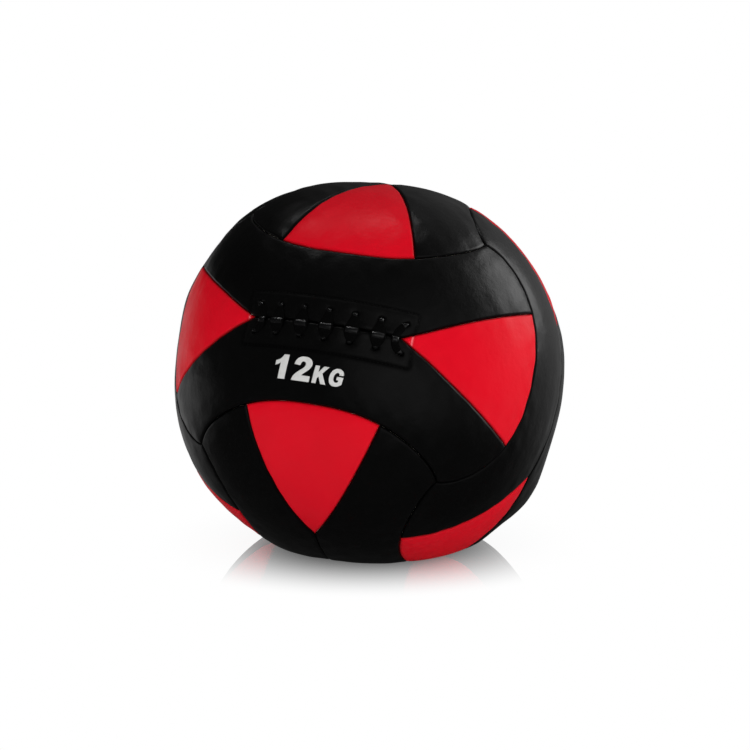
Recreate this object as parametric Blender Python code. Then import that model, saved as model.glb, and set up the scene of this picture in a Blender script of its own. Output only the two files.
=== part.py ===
# Wall ball: a laced ball of 24 sewn panels, packed with wadding round a weight bag, at rest on a flat floor.
#
# The seams of the cover follow a cube. Each cube face has a short middle seam, two red panels that point at
# the ends of that seam, and two black panels along its sides. The curved base seams of the red panels run
# from one cube corner to the next. Directions are unit vectors in the cube's own frame, where the laced face
# is -Y. A depth is measured inwards from the cover, along the line to the ball's centre.

import math

import bmesh
import bpy
import numpy as np
from mathutils import Euler

# The ball, in metres
BALL_RADIUS = 0.175
FACE_SINK = 0.0023  # the middle of a cube face lies this far inside the ball
CORNER_RISE = 0.007  # the cover stands out this far where three black panels meet
REST_SINK = 0.0205  # its weight flattens it: the ball's centre is this much lower than a round ball's
SHOULDER = 0.007  # the band over which the flat turns up into the side
ATTITUDE_DEGREES = (-27.1, 4.75, -16.9)  # how the ball lies: turned about X, then Y, then Z

# The panels
SEAM_LENGTH = 0.140  # a middle seam
RED_LENGTH = 0.136  # a red panel, from its point to the middle of its base
RED_BASE = 0.1186  # a red panel, across its base
RED_BOW_SHARE = 0.07  # how far a red panel's sides bow out
BASE_SEAM_POWERS = (2.5, 0.65)  # how full a base seam is, and how steeply its ends turn in
LEATHER = 0.0022
SEAM_DEPTH = 0.0028  # how far the edges are pulled in at a seam
SEAM_ROUND = 0.0075  # the strip of panel that turns down into the seam
GAP = 0.0003  # between neighbouring pieces
FACET_ROOM = 0.0009  # what lies under a coarse curved piece keeps clear of its flat facets
SHOULDER_ROOM = 0.0007  # and the liner of the larger facets' corners, where the cover turns sharply

# The lacing, over the laced face's middle seam
LACING_SHIFT = 0.0025  # along the seam, from its middle to the lacing's
LACE_COLUMNS = 7
LACE_END = 0.003  # from the end of the seam to the outer holes
LACE_ROW = 0.0128  # from the seam to each row of holes
HOLE_RADIUS = 0.0028
LACE_WIDTH = 0.0125  # where it crosses the seam
LACE_NECK_WIDTH = 0.0042  # where it is drawn through a hole
LACE_HIDDEN_WIDTH = 0.006
LACE_OUTER_WIDTH = 0.0066  # of the first and the last stitch
LACE_OUTER_LEAN = 0.0062  # how far these two lean in over the seam, clear of the red points
LACE_THICKNESS = 0.0018
LACE_TAIL = 0.012  # a tucked end, back from the hole that it enters
LACE_BEND = 0.0032  # how far it takes to turn out of a hole and lie flat
LACE_FLAT_SHARE = 0.6  # of its width, between the bevelled edges
LACE_RUN_SHARES = (0.3, 0.5, 0.7)  # places on a hidden run, from one stitch to the next

# The facings, their stitching and the tongue
FACING_THICKNESS = 0.0015
FACING_EDGE = 0.002  # how far a facing reaches past its stitching
FACING_SLIT = 0.002  # from the seam to each facing
STITCH_MARGIN = 0.0045  # from the end of the seam to the stitching
STITCH_LOWER = 0.0250  # from the seam to the stitching below it
STITCH_UPPER = 0.0232
STITCH_CORNER = 0.005
THREAD_RADIUS = 0.0005
TONGUE_THICKNESS = 0.0012
TONGUE_LENGTH = 0.154
TONGUE_WIDTH = 0.042
POCKET_MARGIN = 0.0015  # room round the facings and the tongue in the liner and the wadding

# The filling
LINER_WALL = 0.0008
BAG_RADIUS = 0.104
BAG_WALL = 0.001
BAG_NECK_RADIUS = 0.013
BAG_WAIST_RADIUS = 0.008
BAG_WAIST_RISE = 0.010  # from the bag's crown to the tie
BAG_NECK_LENGTH = 0.024
POCKET_NECK_RADIUS = 0.0175  # the hollow in the wadding round the bag's neck
TIE_RADIUS = 0.002
TIE_ROOM = 0.0004  # between the tie and the waist, whose cloth flares above and below it

# Counts
BASE_STEPS = 8  # along a red panel's base
END_STEPS = 3  # from there to a cube corner
SIDE_STEPS = 4  # along a red panel's side
MIDDLE_STEPS = BASE_STEPS + 2 * (END_STEPS - SIDE_STEPS)  # along a middle seam
TURNED_STEPS = 20  # round the liner, the wadding and the bag
HALF_STEPS = 5  # from the pole to the middle of each of them
EVENING_PASSES = 60
HOLE_STEPS = 12
STRIP_STEPS = 14  # along the facings and the tongue
LONG_STITCH_STEPS = 12  # along the stitching's long sides
SHORT_STITCH_STEPS = 2
THREAD_SIDES = 5
TIE_STEPS = 6
SHARP_DEGREES = 35
CUTTER_MARGIN = 0.004  # how far a cutter runs past what it cuts

QUARTER = math.pi / 2
CUBE_CORNER = math.asin(1 / math.sqrt(3))  # a cube corner, off the middle plane of a face
SEAM_END = SEAM_LENGTH / 2 / BALL_RADIUS
BASE_MIDDLE = SEAM_END + RED_LENGTH / BALL_RADIUS
BASE_END = RED_BASE / 2 / BALL_RADIUS
REST_HEIGHT = BALL_RADIUS - REST_SINK  # from the floor to the ball's centre
ATTITUDE = np.array(Euler([math.radians(turn) for turn in ATTITUDE_DEGREES]).to_matrix())

FACE_NAMES = (("left", "right"), ("front", "back"), ("bottom", "top"))  # the two faces on each axis
SIDE_NAMES = (("left", "right"), ("front", "back"), ("lower", "upper"))
LACED_FACE = "front"

COVER_DEPTH = SEAM_DEPTH + LEATHER + FACET_ROOM + GAP  # the deepest that a panel reaches, and a gap
FACING_HALF_LENGTH = SEAM_LENGTH / 2 + STITCH_MARGIN + FACING_EDGE
FACING_REACHES = {-1: STITCH_LOWER + FACING_EDGE, 1: STITCH_UPPER + FACING_EDGE}
LACE_DEPTH = COVER_DEPTH + FACING_THICKNESS + GAP + LACE_THICKNESS / 2 + GAP
TONGUE_DEPTH = LACE_DEPTH + LACE_THICKNESS / 2 + GAP
POCKET_DEPTH = TONGUE_DEPTH + TONGUE_THICKNESS + GAP
LINER_DEPTH = COVER_DEPTH + SHOULDER_ROOM
WADDING_DEPTH = LINER_DEPTH + LINER_WALL + 2 * GAP


def smooth_min(first, second, band):
    """The lesser of two lengths, blended where they differ by less than the band, and exact elsewhere."""
    blend = np.maximum(band - np.abs(first - second), 0)
    return np.minimum(first, second) - blend**2 / (4 * band)


def cover_radius(directions):
    """From the ball's centre to the cover: a ball with low faces and proud corners, flat on the floor."""
    squares = directions**2
    face = 2 * (squares**2).sum(axis=-1) - 1
    corner = 27 * squares.prod(axis=-1)
    free = BALL_RADIUS - FACE_SINK * face + CORNER_RISE * corner
    down = np.maximum(-(directions @ ATTITUDE[2]), REST_HEIGHT / (2 * BALL_RADIUS))
    return smooth_min(free, REST_HEIGHT / down, SHOULDER)


def under_cover(directions, depth):
    """Points in space at a depth below the cover, or at one for each direction."""
    radii = cover_radius(directions) - depth
    return (directions * radii[..., None]) @ ATTITUDE.T


def face_place(face):
    """A cube face's axis, and which way along it the face looks."""
    axis = next(number for number, names in enumerate(FACE_NAMES) if face in names)
    return axis, 2 * FACE_NAMES[axis].index(face) - 1


def face_frame(face):
    """A cube face's outward normal, the way its middle seam runs, and the way across that seam."""
    axis, sign = face_place(face)
    ways = np.eye(3)
    return sign * ways[axis], ways[axis - 1], ways[(axis + 1) % 3]


def on_face(face, along, across):
    """Directions on a cube face, from angles along its middle seam and across it."""
    normal, seam_way, cross_way = face_frame(face)
    along = np.asarray(along, float)[..., None]
    across = np.asarray(across, float)[..., None]
    return np.cos(across) * (np.cos(along) * normal + np.sin(along) * seam_way) + np.sin(across) * cross_way


def base_seam(across):
    """How far along a face its red panel's base seam lies, in radians, at angles across the middle seam."""
    fullness, end_power = BASE_SEAM_POWERS
    share = np.minimum(np.abs(across) / CUBE_CORNER, 1)
    return QUARTER / 2 + (BASE_MIDDLE - QUARTER / 2) * (1 - share**fullness) ** end_power


def end_stretch():
    """Angles across a face from the end of a red base to the cube corner, closer where the seam turns in."""
    return BASE_END + (CUBE_CORNER - BASE_END) * np.sin(np.linspace(0, QUARTER, END_STEPS + 1))


def red_side():
    """A red panel's side, from its point to the end of its base: angles along and across the face."""
    run = np.linspace(0, 1, SIDE_STEPS + 1)
    along = SEAM_END + run * (base_seam(BASE_END) - SEAM_END)
    return along, BASE_END * (run + 4 * RED_BOW_SHARE * run * (1 - run))


def red_outline(face, side):
    """A red panel's base, far side, point and near side, as directions."""
    base = np.linspace(-BASE_END, BASE_END, BASE_STEPS + 1)
    along, across = red_side()
    along, across = along[::-1], across[::-1]
    point = on_face(face, np.full(len(base), side * SEAM_END), 0)
    return (
        on_face(face, side * base_seam(base), base),
        on_face(face, side * along, across),
        point,
        on_face(face, side * along, -across),
    )


def black_outline(face, side):
    """A black panel's edge along the middle seam and two red sides, far end, long base seam and near end."""
    ends = end_stretch()
    long_seam = np.concatenate([-ends[::-1], np.linspace(-BASE_END, BASE_END, BASE_STEPS + 1)[1:-1], ends])
    middle = np.linspace(-SEAM_END, SEAM_END, MIDDLE_STEPS + 1)[1:-1]
    along, across = red_side()
    axis, sign = face_place(face)
    next_face = FACE_NAMES[(axis + 1) % 3][(side + 1) // 2]
    return (
        on_face(
            face,
            np.concatenate([-along[::-1], middle, along]),
            side * np.concatenate([across[::-1], np.zeros(len(middle)), across]),
        ),
        on_face(face, base_seam(ends), side * ends),
        on_face(next_face, sign * base_seam(long_seam), long_seam),
        on_face(face, -base_seam(ends), side * ends),
    )


def unit(vectors):
    return vectors / np.linalg.norm(vectors, axis=-1, keepdims=True)


def inset(ring, distance):
    """Moves a closed outline of directions inwards over the ball by a distance, with mitred corners."""
    edges = np.roll(ring, -1, axis=0) - ring
    inward = unit(np.cross(ring, edges))
    if (inward * (ring.mean(axis=0) - ring)).sum() < 0:
        inward = -inward
    before = np.roll(inward, 1, axis=0)
    shift = (inward + before) / (1 + (inward * before).sum(axis=-1, keepdims=True))
    return unit(ring + shift * distance / BALL_RADIUS)


def patch(base, far, top, near):
    """A grid of directions that fills four sides: opposite sides blended, then evened out."""
    across = np.linspace(0, 1, len(base))[:, None, None]
    up = np.linspace(0, 1, len(near))[None, :, None]
    sides = (1 - up) * base[:, None] + up * top[:, None] + (1 - across) * near[None] + across * far[None]
    low_corners = (1 - across) * base[0] + across * base[-1]
    high_corners = (1 - across) * top[0] + across * top[-1]
    grid = sides - (1 - up) * low_corners - up * high_corners
    for _ in range(EVENING_PASSES):
        neighbours = grid[:-2, 1:-1] + grid[2:, 1:-1] + grid[1:-1, :-2] + grid[1:-1, 2:]
        grid[1:-1, 1:-1] = neighbours / 4
    return unit(grid)


def grid_faces(rows, columns, wrap=False):
    """Triangles of a grid whose points are counted along each row, all split the same way."""
    faces = []
    for row in range(rows - 1):
        for column in range(columns if wrap else columns - 1):
            beside = (column + 1) % columns
            near, far = row * columns, (row + 1) * columns
            faces.append((near + column, near + beside, far + beside))
            faces.append((near + column, far + beside, far + column))
    return faces


def plain_material(name, colour, roughness):
    """A material of one colour for one piece."""
    material = bpy.data.materials.new(name)
    material.use_nodes = True
    shader = material.node_tree.nodes["Principled BSDF"]
    shader.inputs["Base Color"].default_value = (*colour, 1)
    shader.inputs["Roughness"].default_value = roughness
    shader.inputs["Metallic"].default_value = 0
    return material


def add_piece(name, points, faces, material, outward=False):
    """Makes one named piece. A sheet is turned to face outwards; a closed form has its own normals."""
    mesh = bpy.data.meshes.new(name)
    shape = bmesh.new()
    corners = [shape.verts.new(point) for point in np.asarray(points, float).reshape(-1, 3)]
    for face in faces:
        shape.faces.new([corners[index] for index in face])
    bmesh.ops.remove_doubles(shape, verts=shape.verts, dist=GAP / 100)
    bmesh.ops.recalc_face_normals(shape, faces=shape.faces)
    if outward and sum(face.normal.dot(face.calc_center_median()) for face in shape.faces) < 0:
        bmesh.ops.reverse_faces(shape, faces=shape.faces)
    shape.to_mesh(mesh)
    shape.free()
    mesh.shade_smooth()
    mesh.set_sharp_from_angle(angle=math.radians(SHARP_DEGREES))
    mesh.materials.append(material)
    piece = bpy.data.objects.new(name, mesh)
    bpy.context.collection.objects.link(piece)
    piece.parent = centre
    return piece


def thicken(piece, wall):
    """Gives a sheet its wall, inwards from the side that shows."""
    solidify = piece.modifiers.new("wall", "SOLIDIFY")
    solidify.thickness = wall
    solidify.offset = -1
    solidify.use_even_offset = True
    solidify.use_quality_normals = True


def cut(piece, cutter):
    boolean = piece.modifiers.new(cutter.name, "BOOLEAN")
    boolean.operation = "DIFFERENCE"
    boolean.solver = "EXACT"
    boolean.object = cutter


def make_cutter(name, points, faces):
    cutter = add_piece(name, points, faces, None)
    cutter.hide_render = True
    cutter.display_type = "WIRE"
    return cutter


def make_panel(name, outline, material):
    """One panel: an edge strip that turns down into the seams round a curved middle, with a leather wall."""
    base, far, top, near = outline
    pointed = np.allclose(top[0], top[-1])
    across, up = len(base) - 1, len(near) - 1
    ring = np.concatenate([base, far[1:], top[:0] if pointed else top[-2::-1], near[-2:0:-1]])
    edge = inset(ring, GAP / 2)
    inner = inset(ring, SEAM_ROUND)
    far_end = across + up
    inner_base = inner[: across + 1]
    inner_far = inner[across : far_end + 1]
    if pointed:
        inner_top = np.repeat(inner[far_end : far_end + 1], across + 1, axis=0)
        inner_near = np.concatenate([inner[:1], inner[:far_end - 1 : -1]])
    else:
        inner_top = inner[far_end : far_end + across + 1][::-1]
        inner_near = np.concatenate([inner[:1], inner[: far_end + across - 1 : -1]])
    middle = patch(inner_base, inner_far, inner_top, inner_near)
    place = np.arange(middle[..., 0].size).reshape(middle.shape[:2])
    border = np.concatenate([
        place[:, 0], place[-1, 1:], [] if pointed else place[-2::-1, -1], place[0, -2:0:-1],
    ]).astype(int)
    points = np.concatenate([under_cover(middle.reshape(-1, 3), 0), under_cover(edge, SEAM_DEPTH)])
    faces = grid_faces(*place.shape)
    count = len(border)
    for step in range(count):
        after = (step + 1) % count
        faces.append((border[step], border[after], place.size + after, place.size + step))
    panel = add_piece(name, points, faces, material, outward=True)
    thicken(panel, LEATHER)
    return panel


def on_lacing(along, across, depth):
    """Points round the lacing, from lengths along its seam, across it and below the cover."""
    along = LACING_SHIFT + np.asarray(along, float)
    across = np.asarray(across, float)
    return under_cover(on_face(LACED_FACE, along / BALL_RADIUS, across / BALL_RADIUS), depth)


def lace_columns():
    reach = SEAM_LENGTH / 2 - LACE_END
    return np.linspace(-reach, reach, LACE_COLUMNS)


def make_strip(name, half_length, low, high, depth, wall, material):
    """A strip beside or across the laced seam, at one depth below the cover."""
    along = np.linspace(-half_length, half_length, STRIP_STEPS + 1)
    across = np.array([low, (low + high) / 2, high])
    points = on_lacing(along[:, None], across[None], depth)
    strip = add_piece(name, points, grid_faces(len(along), len(across)), material, outward=True)
    thicken(strip, wall)
    return strip


def make_hole_cutter(name, row):
    """Punches for one row of lace holes, through the panel and the facing behind it."""
    turns = np.linspace(0, 2 * math.pi, HOLE_STEPS, endpoint=False)
    points, faces = [], []
    for column in lace_columns():
        first = len(points) * HOLE_STEPS
        for depth in (-CUTTER_MARGIN, COVER_DEPTH + FACING_THICKNESS + CUTTER_MARGIN):
            rim = on_lacing(column + HOLE_RADIUS * np.cos(turns), row + HOLE_RADIUS * np.sin(turns), depth)
            points.append(rim)
        low, high = range(first, first + HOLE_STEPS), range(first + HOLE_STEPS, first + 2 * HOLE_STEPS)
        faces += [tuple(low), tuple(high)]
        for step in range(HOLE_STEPS):
            after = (step + 1) % HOLE_STEPS
            faces.append((low[step], low[after], high[after], high[step]))
    return make_cutter(name, points, faces)


def make_pocket_cutter(name):
    """The room behind the lacing, for the facings, the lace's hidden runs and the tongue."""
    half_length = max(FACING_HALF_LENGTH, TONGUE_LENGTH / 2) + POCKET_MARGIN
    half_width = max(*FACING_REACHES.values(), TONGUE_WIDTH / 2) + POCKET_MARGIN
    along = np.linspace(-half_length, half_length, STRIP_STEPS + 1)
    outline = (
        (-half_width, -CUTTER_MARGIN),
        (half_width, -CUTTER_MARGIN),
        (half_width, POCKET_DEPTH),
        (-half_width, POCKET_DEPTH),
    )
    points = [[on_lacing(place, across, depth) for across, depth in outline] for place in along]
    faces = grid_faces(len(along), len(outline), wrap=True)
    last = STRIP_STEPS * len(outline)
    faces += [tuple(range(len(outline))), tuple(range(last, last + len(outline)))]
    return make_cutter(name, points, faces)


def lace_route():
    """The lace's middle line: along, across, depth and width. It goes over the seam, then back behind it."""
    hidden = COVER_DEPTH + FACING_THICKNESS / 2
    proud = LACE_THICKNESS / 2 + 2 * GAP
    row, bend = LACE_ROW, LACE_BEND
    columns = lace_columns()
    tail_start, tail_end = columns[0] - bend, columns[-1] + bend
    over = (
        (row, hidden, LACE_NECK_WIDTH),
        (row, LEATHER, LACE_NECK_WIDTH),
        (row - bend / 8, -proud / 4, LACE_NECK_WIDTH),
        (row - bend, -proud - GAP / 2, (2 * LACE_NECK_WIDTH + LACE_WIDTH) / 3),
        (row / 2, -proud, (LACE_NECK_WIDTH + 2 * LACE_WIDTH) / 3),
    )
    route = [(tail_start, row - LACE_TAIL, LACE_DEPTH, LACE_HIDDEN_WIDTH)]
    for number, column in enumerate(columns):
        outer = (number == 0) - (number == LACE_COLUMNS - 1)
        widest = LACE_OUTER_WIDTH if outer else LACE_WIDTH
        stitch = list(over) + [(0, -proud, LACE_WIDTH)]
        stitch += [(-across, depth, width) for across, depth, width in reversed(over)]
        route.append((column, row - bend / 2, LACE_DEPTH, LACE_NECK_WIDTH))
        for across, depth, width in stitch:
            lean = outer * LACE_OUTER_LEAN * (1 - (across / row) ** 2)
            route.append((column + lean, across, depth, min(width, widest)))
        route.append((column, bend / 2 - row, LACE_DEPTH, LACE_NECK_WIDTH))
        if number < LACE_COLUMNS - 1:
            pitch = columns[number + 1] - column
            route += [
                (column + share * pitch, (2 * share - 1) * row, LACE_DEPTH, LACE_HIDDEN_WIDTH)
                for share in LACE_RUN_SHARES
            ]
    route.append((tail_end, LACE_TAIL - row, LACE_DEPTH, LACE_HIDDEN_WIDTH))
    return np.array(route)


def make_lace(material):
    """A flat strip carried along the route: six corners at each point, its width kept along the seam."""
    along, across, depth, width = lace_route().T
    middle = on_lacing(along, across, depth)
    ahead = unit(np.gradient(middle, axis=0))
    seam_way = on_lacing(along + GAP, across, depth) - middle
    side = unit(seam_way - (seam_way * ahead).sum(axis=-1, keepdims=True) * ahead)
    out = np.cross(ahead, side)
    corners = []
    flat = LACE_FLAT_SHARE
    for side_share, out_share in ((-1, 0), (-flat, 1), (flat, 1), (1, 0), (flat, -1), (-flat, -1)):
        corners.append(
            middle + side * (side_share * width / 2)[:, None] + out * (out_share * LACE_THICKNESS / 2)
        )
    corners = np.stack(corners, axis=1)
    count = corners.shape[1]
    faces = grid_faces(len(middle), count, wrap=True)
    last = (len(middle) - 1) * count
    faces += [tuple(range(count)), tuple(range(last, last + count))]
    return add_piece("lace", corners, faces, material)


def make_stitching(material):
    """The thread round both facings: one closed loop that lies on the cover."""
    half_length, half_width = SEAM_LENGTH / 2 + STITCH_MARGIN, (STITCH_UPPER + STITCH_LOWER) / 2
    inner_length, inner_width = half_length - STITCH_CORNER, half_width - STITCH_CORNER
    route = []
    for turn in range(4):
        way = turn * QUARTER
        level = turn % 2 == 0
        side = np.array([math.cos(way), math.sin(way)])
        ahead = np.array([-side[1], side[0]])
        run = inner_width if level else inner_length
        reach = half_length if level else half_width
        for share in np.linspace(-1, 1, (SHORT_STITCH_STEPS if level else LONG_STITCH_STEPS) + 1):
            route.append(side * reach + ahead * run * share)
        corner = side * (reach - STITCH_CORNER) + ahead * run
        route.append(corner + STITCH_CORNER * (side + ahead) * math.cos(QUARTER / 2))
    route = np.array(route) + (0, (STITCH_UPPER - STITCH_LOWER) / 2)
    height = -(THREAD_RADIUS + GAP)
    middle = on_lacing(route[:, 0], route[:, 1], height)
    ahead = unit(np.roll(middle, -1, axis=0) - np.roll(middle, 1, axis=0))
    side = unit(np.cross(unit(middle), ahead))
    out = np.cross(ahead, side)
    turns = np.linspace(0, 2 * math.pi, THREAD_SIDES, endpoint=False)
    points = middle[:, None] + THREAD_RADIUS * (
        np.cos(turns)[None, :, None] * side[:, None] + np.sin(turns)[None, :, None] * out[:, None]
    )
    faces = grid_faces(len(middle), THREAD_SIDES, wrap=True)
    last = (len(middle) - 1) * THREAD_SIDES
    for step in range(THREAD_SIDES):
        after = (step + 1) % THREAD_SIDES
        faces.append((last + step, last + after, after, step))
    return add_piece("facing_stitching", points, faces, material)


def ring_directions(angle):
    """Directions round the laced face's own axis, at an angle from it."""
    normal, seam_way, cross_way = face_frame(LACED_FACE)
    turns = np.linspace(0, 2 * math.pi, TURNED_STEPS, endpoint=False)[:, None]
    return np.cos(angle) * normal + np.sin(angle) * (np.cos(turns) * seam_way + np.sin(turns) * cross_way)


def cover_ring(angle, depth):
    return under_cover(ring_directions(angle), depth)


def plain_ring(along, radius):
    """A circle round the laced face's axis, at a length along it from the ball's centre."""
    angle = math.atan2(radius, along)
    return (ring_directions(angle) * math.hypot(along, radius)) @ ATTITUDE.T


def ball_ring(angle, radius):
    return plain_ring(radius * math.cos(angle), radius * math.sin(angle))


def make_turned(name, rings, material, outward=False):
    faces = grid_faces(len(rings), TURNED_STEPS, wrap=True)
    return add_piece(name, rings, faces, material, outward)


def make_filling(pocket):
    """The liner, the wadding in two halves, and the tied bag of ballast in the middle."""
    quarter_angles = np.linspace(0, QUARTER, HALF_STEPS + 1)
    whole_angles = np.linspace(0, math.pi, 2 * HALF_STEPS + 1)
    liner = make_turned("liner", [cover_ring(angle, LINER_DEPTH) for angle in whole_angles], LINER, True)
    thicken(liner, LINER_WALL)
    cut(liner, pocket)

    hollow = BAG_RADIUS + GAP
    neck_angle = math.asin(POCKET_NECK_RADIUS / hollow)
    neck_top = BAG_RADIUS + BAG_NECK_LENGTH + BAG_WALL + GAP
    outer_edge = QUARTER - GAP / 2 / BALL_RADIUS
    inner_edge = QUARTER - GAP / 2 / hollow
    outer = [cover_ring(angle, WADDING_DEPTH) for angle in quarter_angles[:-1]]
    outer.append(cover_ring(outer_edge, WADDING_DEPTH))
    inner = [ball_ring(inner_edge, hollow)]
    inner += [ball_ring(angle, hollow) for angle in quarter_angles[-2:0:-1]]
    inner.append(ball_ring(neck_angle, hollow))
    inner += [plain_ring(neck_top, radius) for radius in (POCKET_NECK_RADIUS, 0)]
    wadding_front = make_turned("wadding_front", outer + inner, WADDING)
    cut(wadding_front, pocket)

    inner = [ball_ring(math.pi - angle, hollow) for angle in quarter_angles[:-1]]
    inner.append(ball_ring(math.pi - inner_edge, hollow))
    outer = [cover_ring(math.pi - outer_edge, WADDING_DEPTH)]
    outer += [cover_ring(math.pi - angle, WADDING_DEPTH) for angle in quarter_angles[-2::-1]]
    make_turned("wadding_back", inner + outer, WADDING_BACK)

    crown = math.sqrt(BAG_RADIUS**2 - BAG_NECK_RADIUS**2)
    waist = crown + BAG_WAIST_RISE
    bag = [ball_ring(angle, BAG_RADIUS) for angle in whole_angles[:0:-1]]
    bag.append(plain_ring(crown, BAG_NECK_RADIUS))
    bag.append(plain_ring(waist, BAG_WAIST_RADIUS))
    bag.append(plain_ring(BAG_RADIUS + BAG_NECK_LENGTH, BAG_NECK_RADIUS))
    weight_bag = make_turned("weight_bag", bag, WEIGHT_BAG, True)
    thicken(weight_bag, BAG_WALL)

    tie_middle = BAG_WAIST_RADIUS + GAP + TIE_ROOM + TIE_RADIUS
    tie = [
        plain_ring(waist + TIE_RADIUS * math.sin(turn), tie_middle + TIE_RADIUS * math.cos(turn))
        for turn in np.linspace(0, 2 * math.pi, TIE_STEPS + 1)
    ]
    make_turned("weight_bag_tie", tie, TIE)

    sand = BAG_RADIUS - BAG_WALL - GAP
    first = whole_angles[1]
    ballast = [ball_ring(angle, sand) for angle in whole_angles[:0:-1]]
    ballast.append(plain_ring(sand * math.cos(first), 0))
    make_turned("ballast", ballast, SAND)


for thing in list(bpy.data.objects):
    bpy.data.objects.remove(thing, do_unlink=True)

LINER = plain_material("liner_cotton", (0.72, 0.70, 0.64), 0.9)
WADDING = plain_material("wadding_front_fibre", (0.78, 0.77, 0.74), 1.0)
WADDING_BACK = plain_material("wadding_back_fibre", (0.76, 0.75, 0.72), 1.0)
WEIGHT_BAG = plain_material("weight_bag_nylon", (0.05, 0.07, 0.12), 0.7)
TIE = plain_material("tie_cord", (0.6, 0.58, 0.5), 0.8)
SAND = plain_material("dry_sand", (0.42, 0.33, 0.22), 1.0)
RED = (0.55, 0.006, 0.02)
BLACK = (0.012, 0.012, 0.013)

centre = bpy.data.objects.new("ball_centre", None)
bpy.context.collection.objects.link(centre)

panels = {}
for axis, faces in enumerate(FACE_NAMES):
    for face in faces:
        for end, side in enumerate((-1, 1)):
            red_name = f"red_{face}_{SIDE_NAMES[axis - 1][end]}"
            red = plain_material(red_name, RED, 0.45)
            panels[red_name] = make_panel(red_name, red_outline(face, side), red)
            black_name = f"black_{face}_{SIDE_NAMES[(axis + 1) % 3][end]}"
            black = plain_material(black_name, BLACK, 0.5)
            panels[black_name] = make_panel(black_name, black_outline(face, side), black)

for row_name, side in (("lower", -1), ("upper", 1)):
    facing = make_strip(
        f"facing_{row_name}",
        FACING_HALF_LENGTH,
        side * FACING_SLIT,
        side * FACING_REACHES[side],
        COVER_DEPTH,
        FACING_THICKNESS,
        plain_material(f"facing_{row_name}", BLACK, 0.6),
    )
    punches = make_hole_cutter(f"punches_{row_name}", side * LACE_ROW)
    cut(facing, punches)
    cut(panels[f"black_{LACED_FACE}_{row_name}"], punches)

make_strip(
    "tongue", TONGUE_LENGTH / 2, -TONGUE_WIDTH / 2, TONGUE_WIDTH / 2, TONGUE_DEPTH, TONGUE_THICKNESS,
    plain_material("tongue", BLACK, 0.6),
)
make_lace(plain_material("lace", (0.02, 0.02, 0.021), 0.6))
make_stitching(plain_material("facing_stitching", (0.03, 0.03, 0.032), 0.7))
make_filling(make_pocket_cutter("closure_pocket"))

# The origin is on the floor, under the middle of the ball's outline
corners = np.array([vertex.co for panel in panels.values() for vertex in panel.data.vertices])
middle = (corners.max(axis=0) + corners.min(axis=0)) / 2
centre.location = (-middle[0], -middle[1], REST_HEIGHT)
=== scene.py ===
# Wall ball: a 12 kg laced ball of red and black synthetic leather, at rest on a glossy white studio floor.
# Everything is in metres. The ball is worked out from rays: unit vectors from its centre, in the frame of a
# cube whose laced face looks along -Y. Each cube face has a short middle seam, two red panels that point at
# the ends of that seam, and two black panels along its sides.

import math

import bmesh
import bpy
import numpy as np
from mathutils import Euler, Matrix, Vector


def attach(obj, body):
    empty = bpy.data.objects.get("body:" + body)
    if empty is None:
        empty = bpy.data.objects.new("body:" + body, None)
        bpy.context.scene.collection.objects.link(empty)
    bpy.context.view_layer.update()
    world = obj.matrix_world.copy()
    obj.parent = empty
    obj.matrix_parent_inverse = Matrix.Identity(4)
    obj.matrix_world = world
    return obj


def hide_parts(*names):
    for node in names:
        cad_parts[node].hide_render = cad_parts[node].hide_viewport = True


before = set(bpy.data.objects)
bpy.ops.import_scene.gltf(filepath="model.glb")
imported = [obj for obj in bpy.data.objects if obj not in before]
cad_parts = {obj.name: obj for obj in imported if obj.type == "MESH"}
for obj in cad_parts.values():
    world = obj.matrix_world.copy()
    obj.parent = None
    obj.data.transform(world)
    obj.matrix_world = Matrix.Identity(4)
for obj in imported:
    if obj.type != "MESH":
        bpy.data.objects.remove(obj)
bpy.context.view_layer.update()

print("wall ball: frame loaded")

photo = {"width": 750, "height": 750, "ballCentrePixel": (370.3, 375.4)}
view = {"distance": 2.1, "elevationDegrees": 13, "lens": 112.5, "sensor": 36}
quarter = math.pi / 2
mergeDistance = 1e-6
nearFront = 0.5  # rays whose cosine with the laced face's own is over this lie near the lacing


# The ball as a whole

lacingShift = 0.0025  # along the front middle seam, from its middle to the lacing's
ball = {
    "radius": 0.175,
    "restSink": 0.0205,  # its weight flattens it: its centre is this much lower than a round ball's
    "shoulder": 0.012,  # the band over which the flat turns up into the side
    "faceSink": 0.0023,  # the middle of a cube face lies this far inside the ball
    "cornerRise": 0.007,  # the cover stands out this far where three black panels meet
    "turnDegrees": (-27.1, 4.75, -16.9),  # how it lies, about X, then Y, then Z
    "lumps": 0.0005,  # the unevenness of hand packed wadding
    "lumpSize": 0.11,
    "lumpSeed": 3,
    "offset": (0.0004, 0),  # its centre, from the middle of its outline
    "bulges": (
        # which way from the centre, how high and how wide: where the wadding is packed more or less firmly
        ((-0.906, 0.095, 0.412), 0.0044, 0.20),
        ((-0.05, 0.224, 0.973), -0.0020, 0.16),
        ((0.945, -0.073, -0.317), -0.0018, 0.14),
        ((-0.85, -0.119, -0.513), 0.0022, 0.14),
        ((0.793, -0.137, -0.593), 0.0020, 0.14),
        ((-0.656, -0.170, -0.735), -0.0038, 0.11),
        ((0.643, -0.172, -0.746), -0.0018, 0.11),
        ((-0.423, 0.204, 0.883), -0.0011, 0.25),
        ((0.990, 0.031, 0.136), 0.0009, 0.14),
    ),
    "drawn": 0.0029,  # the lacing draws the two red points in by this much
    "drawnPlace": 0.070,
    "drawnLength": 0.014,
    "drawnWidth": 0.012,
}
radius = ball["radius"]
restHeight = radius - ball["restSink"]
ballCentre = np.array([*ball["offset"], restHeight])
turn = np.array(Euler([math.radians(angle) for angle in ball["turnDegrees"]]).to_matrix())


def unit(vectors):
    # Each vector divided by its own length
    return vectors / np.linalg.norm(vectors, axis=-1, keepdims=True)


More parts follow.
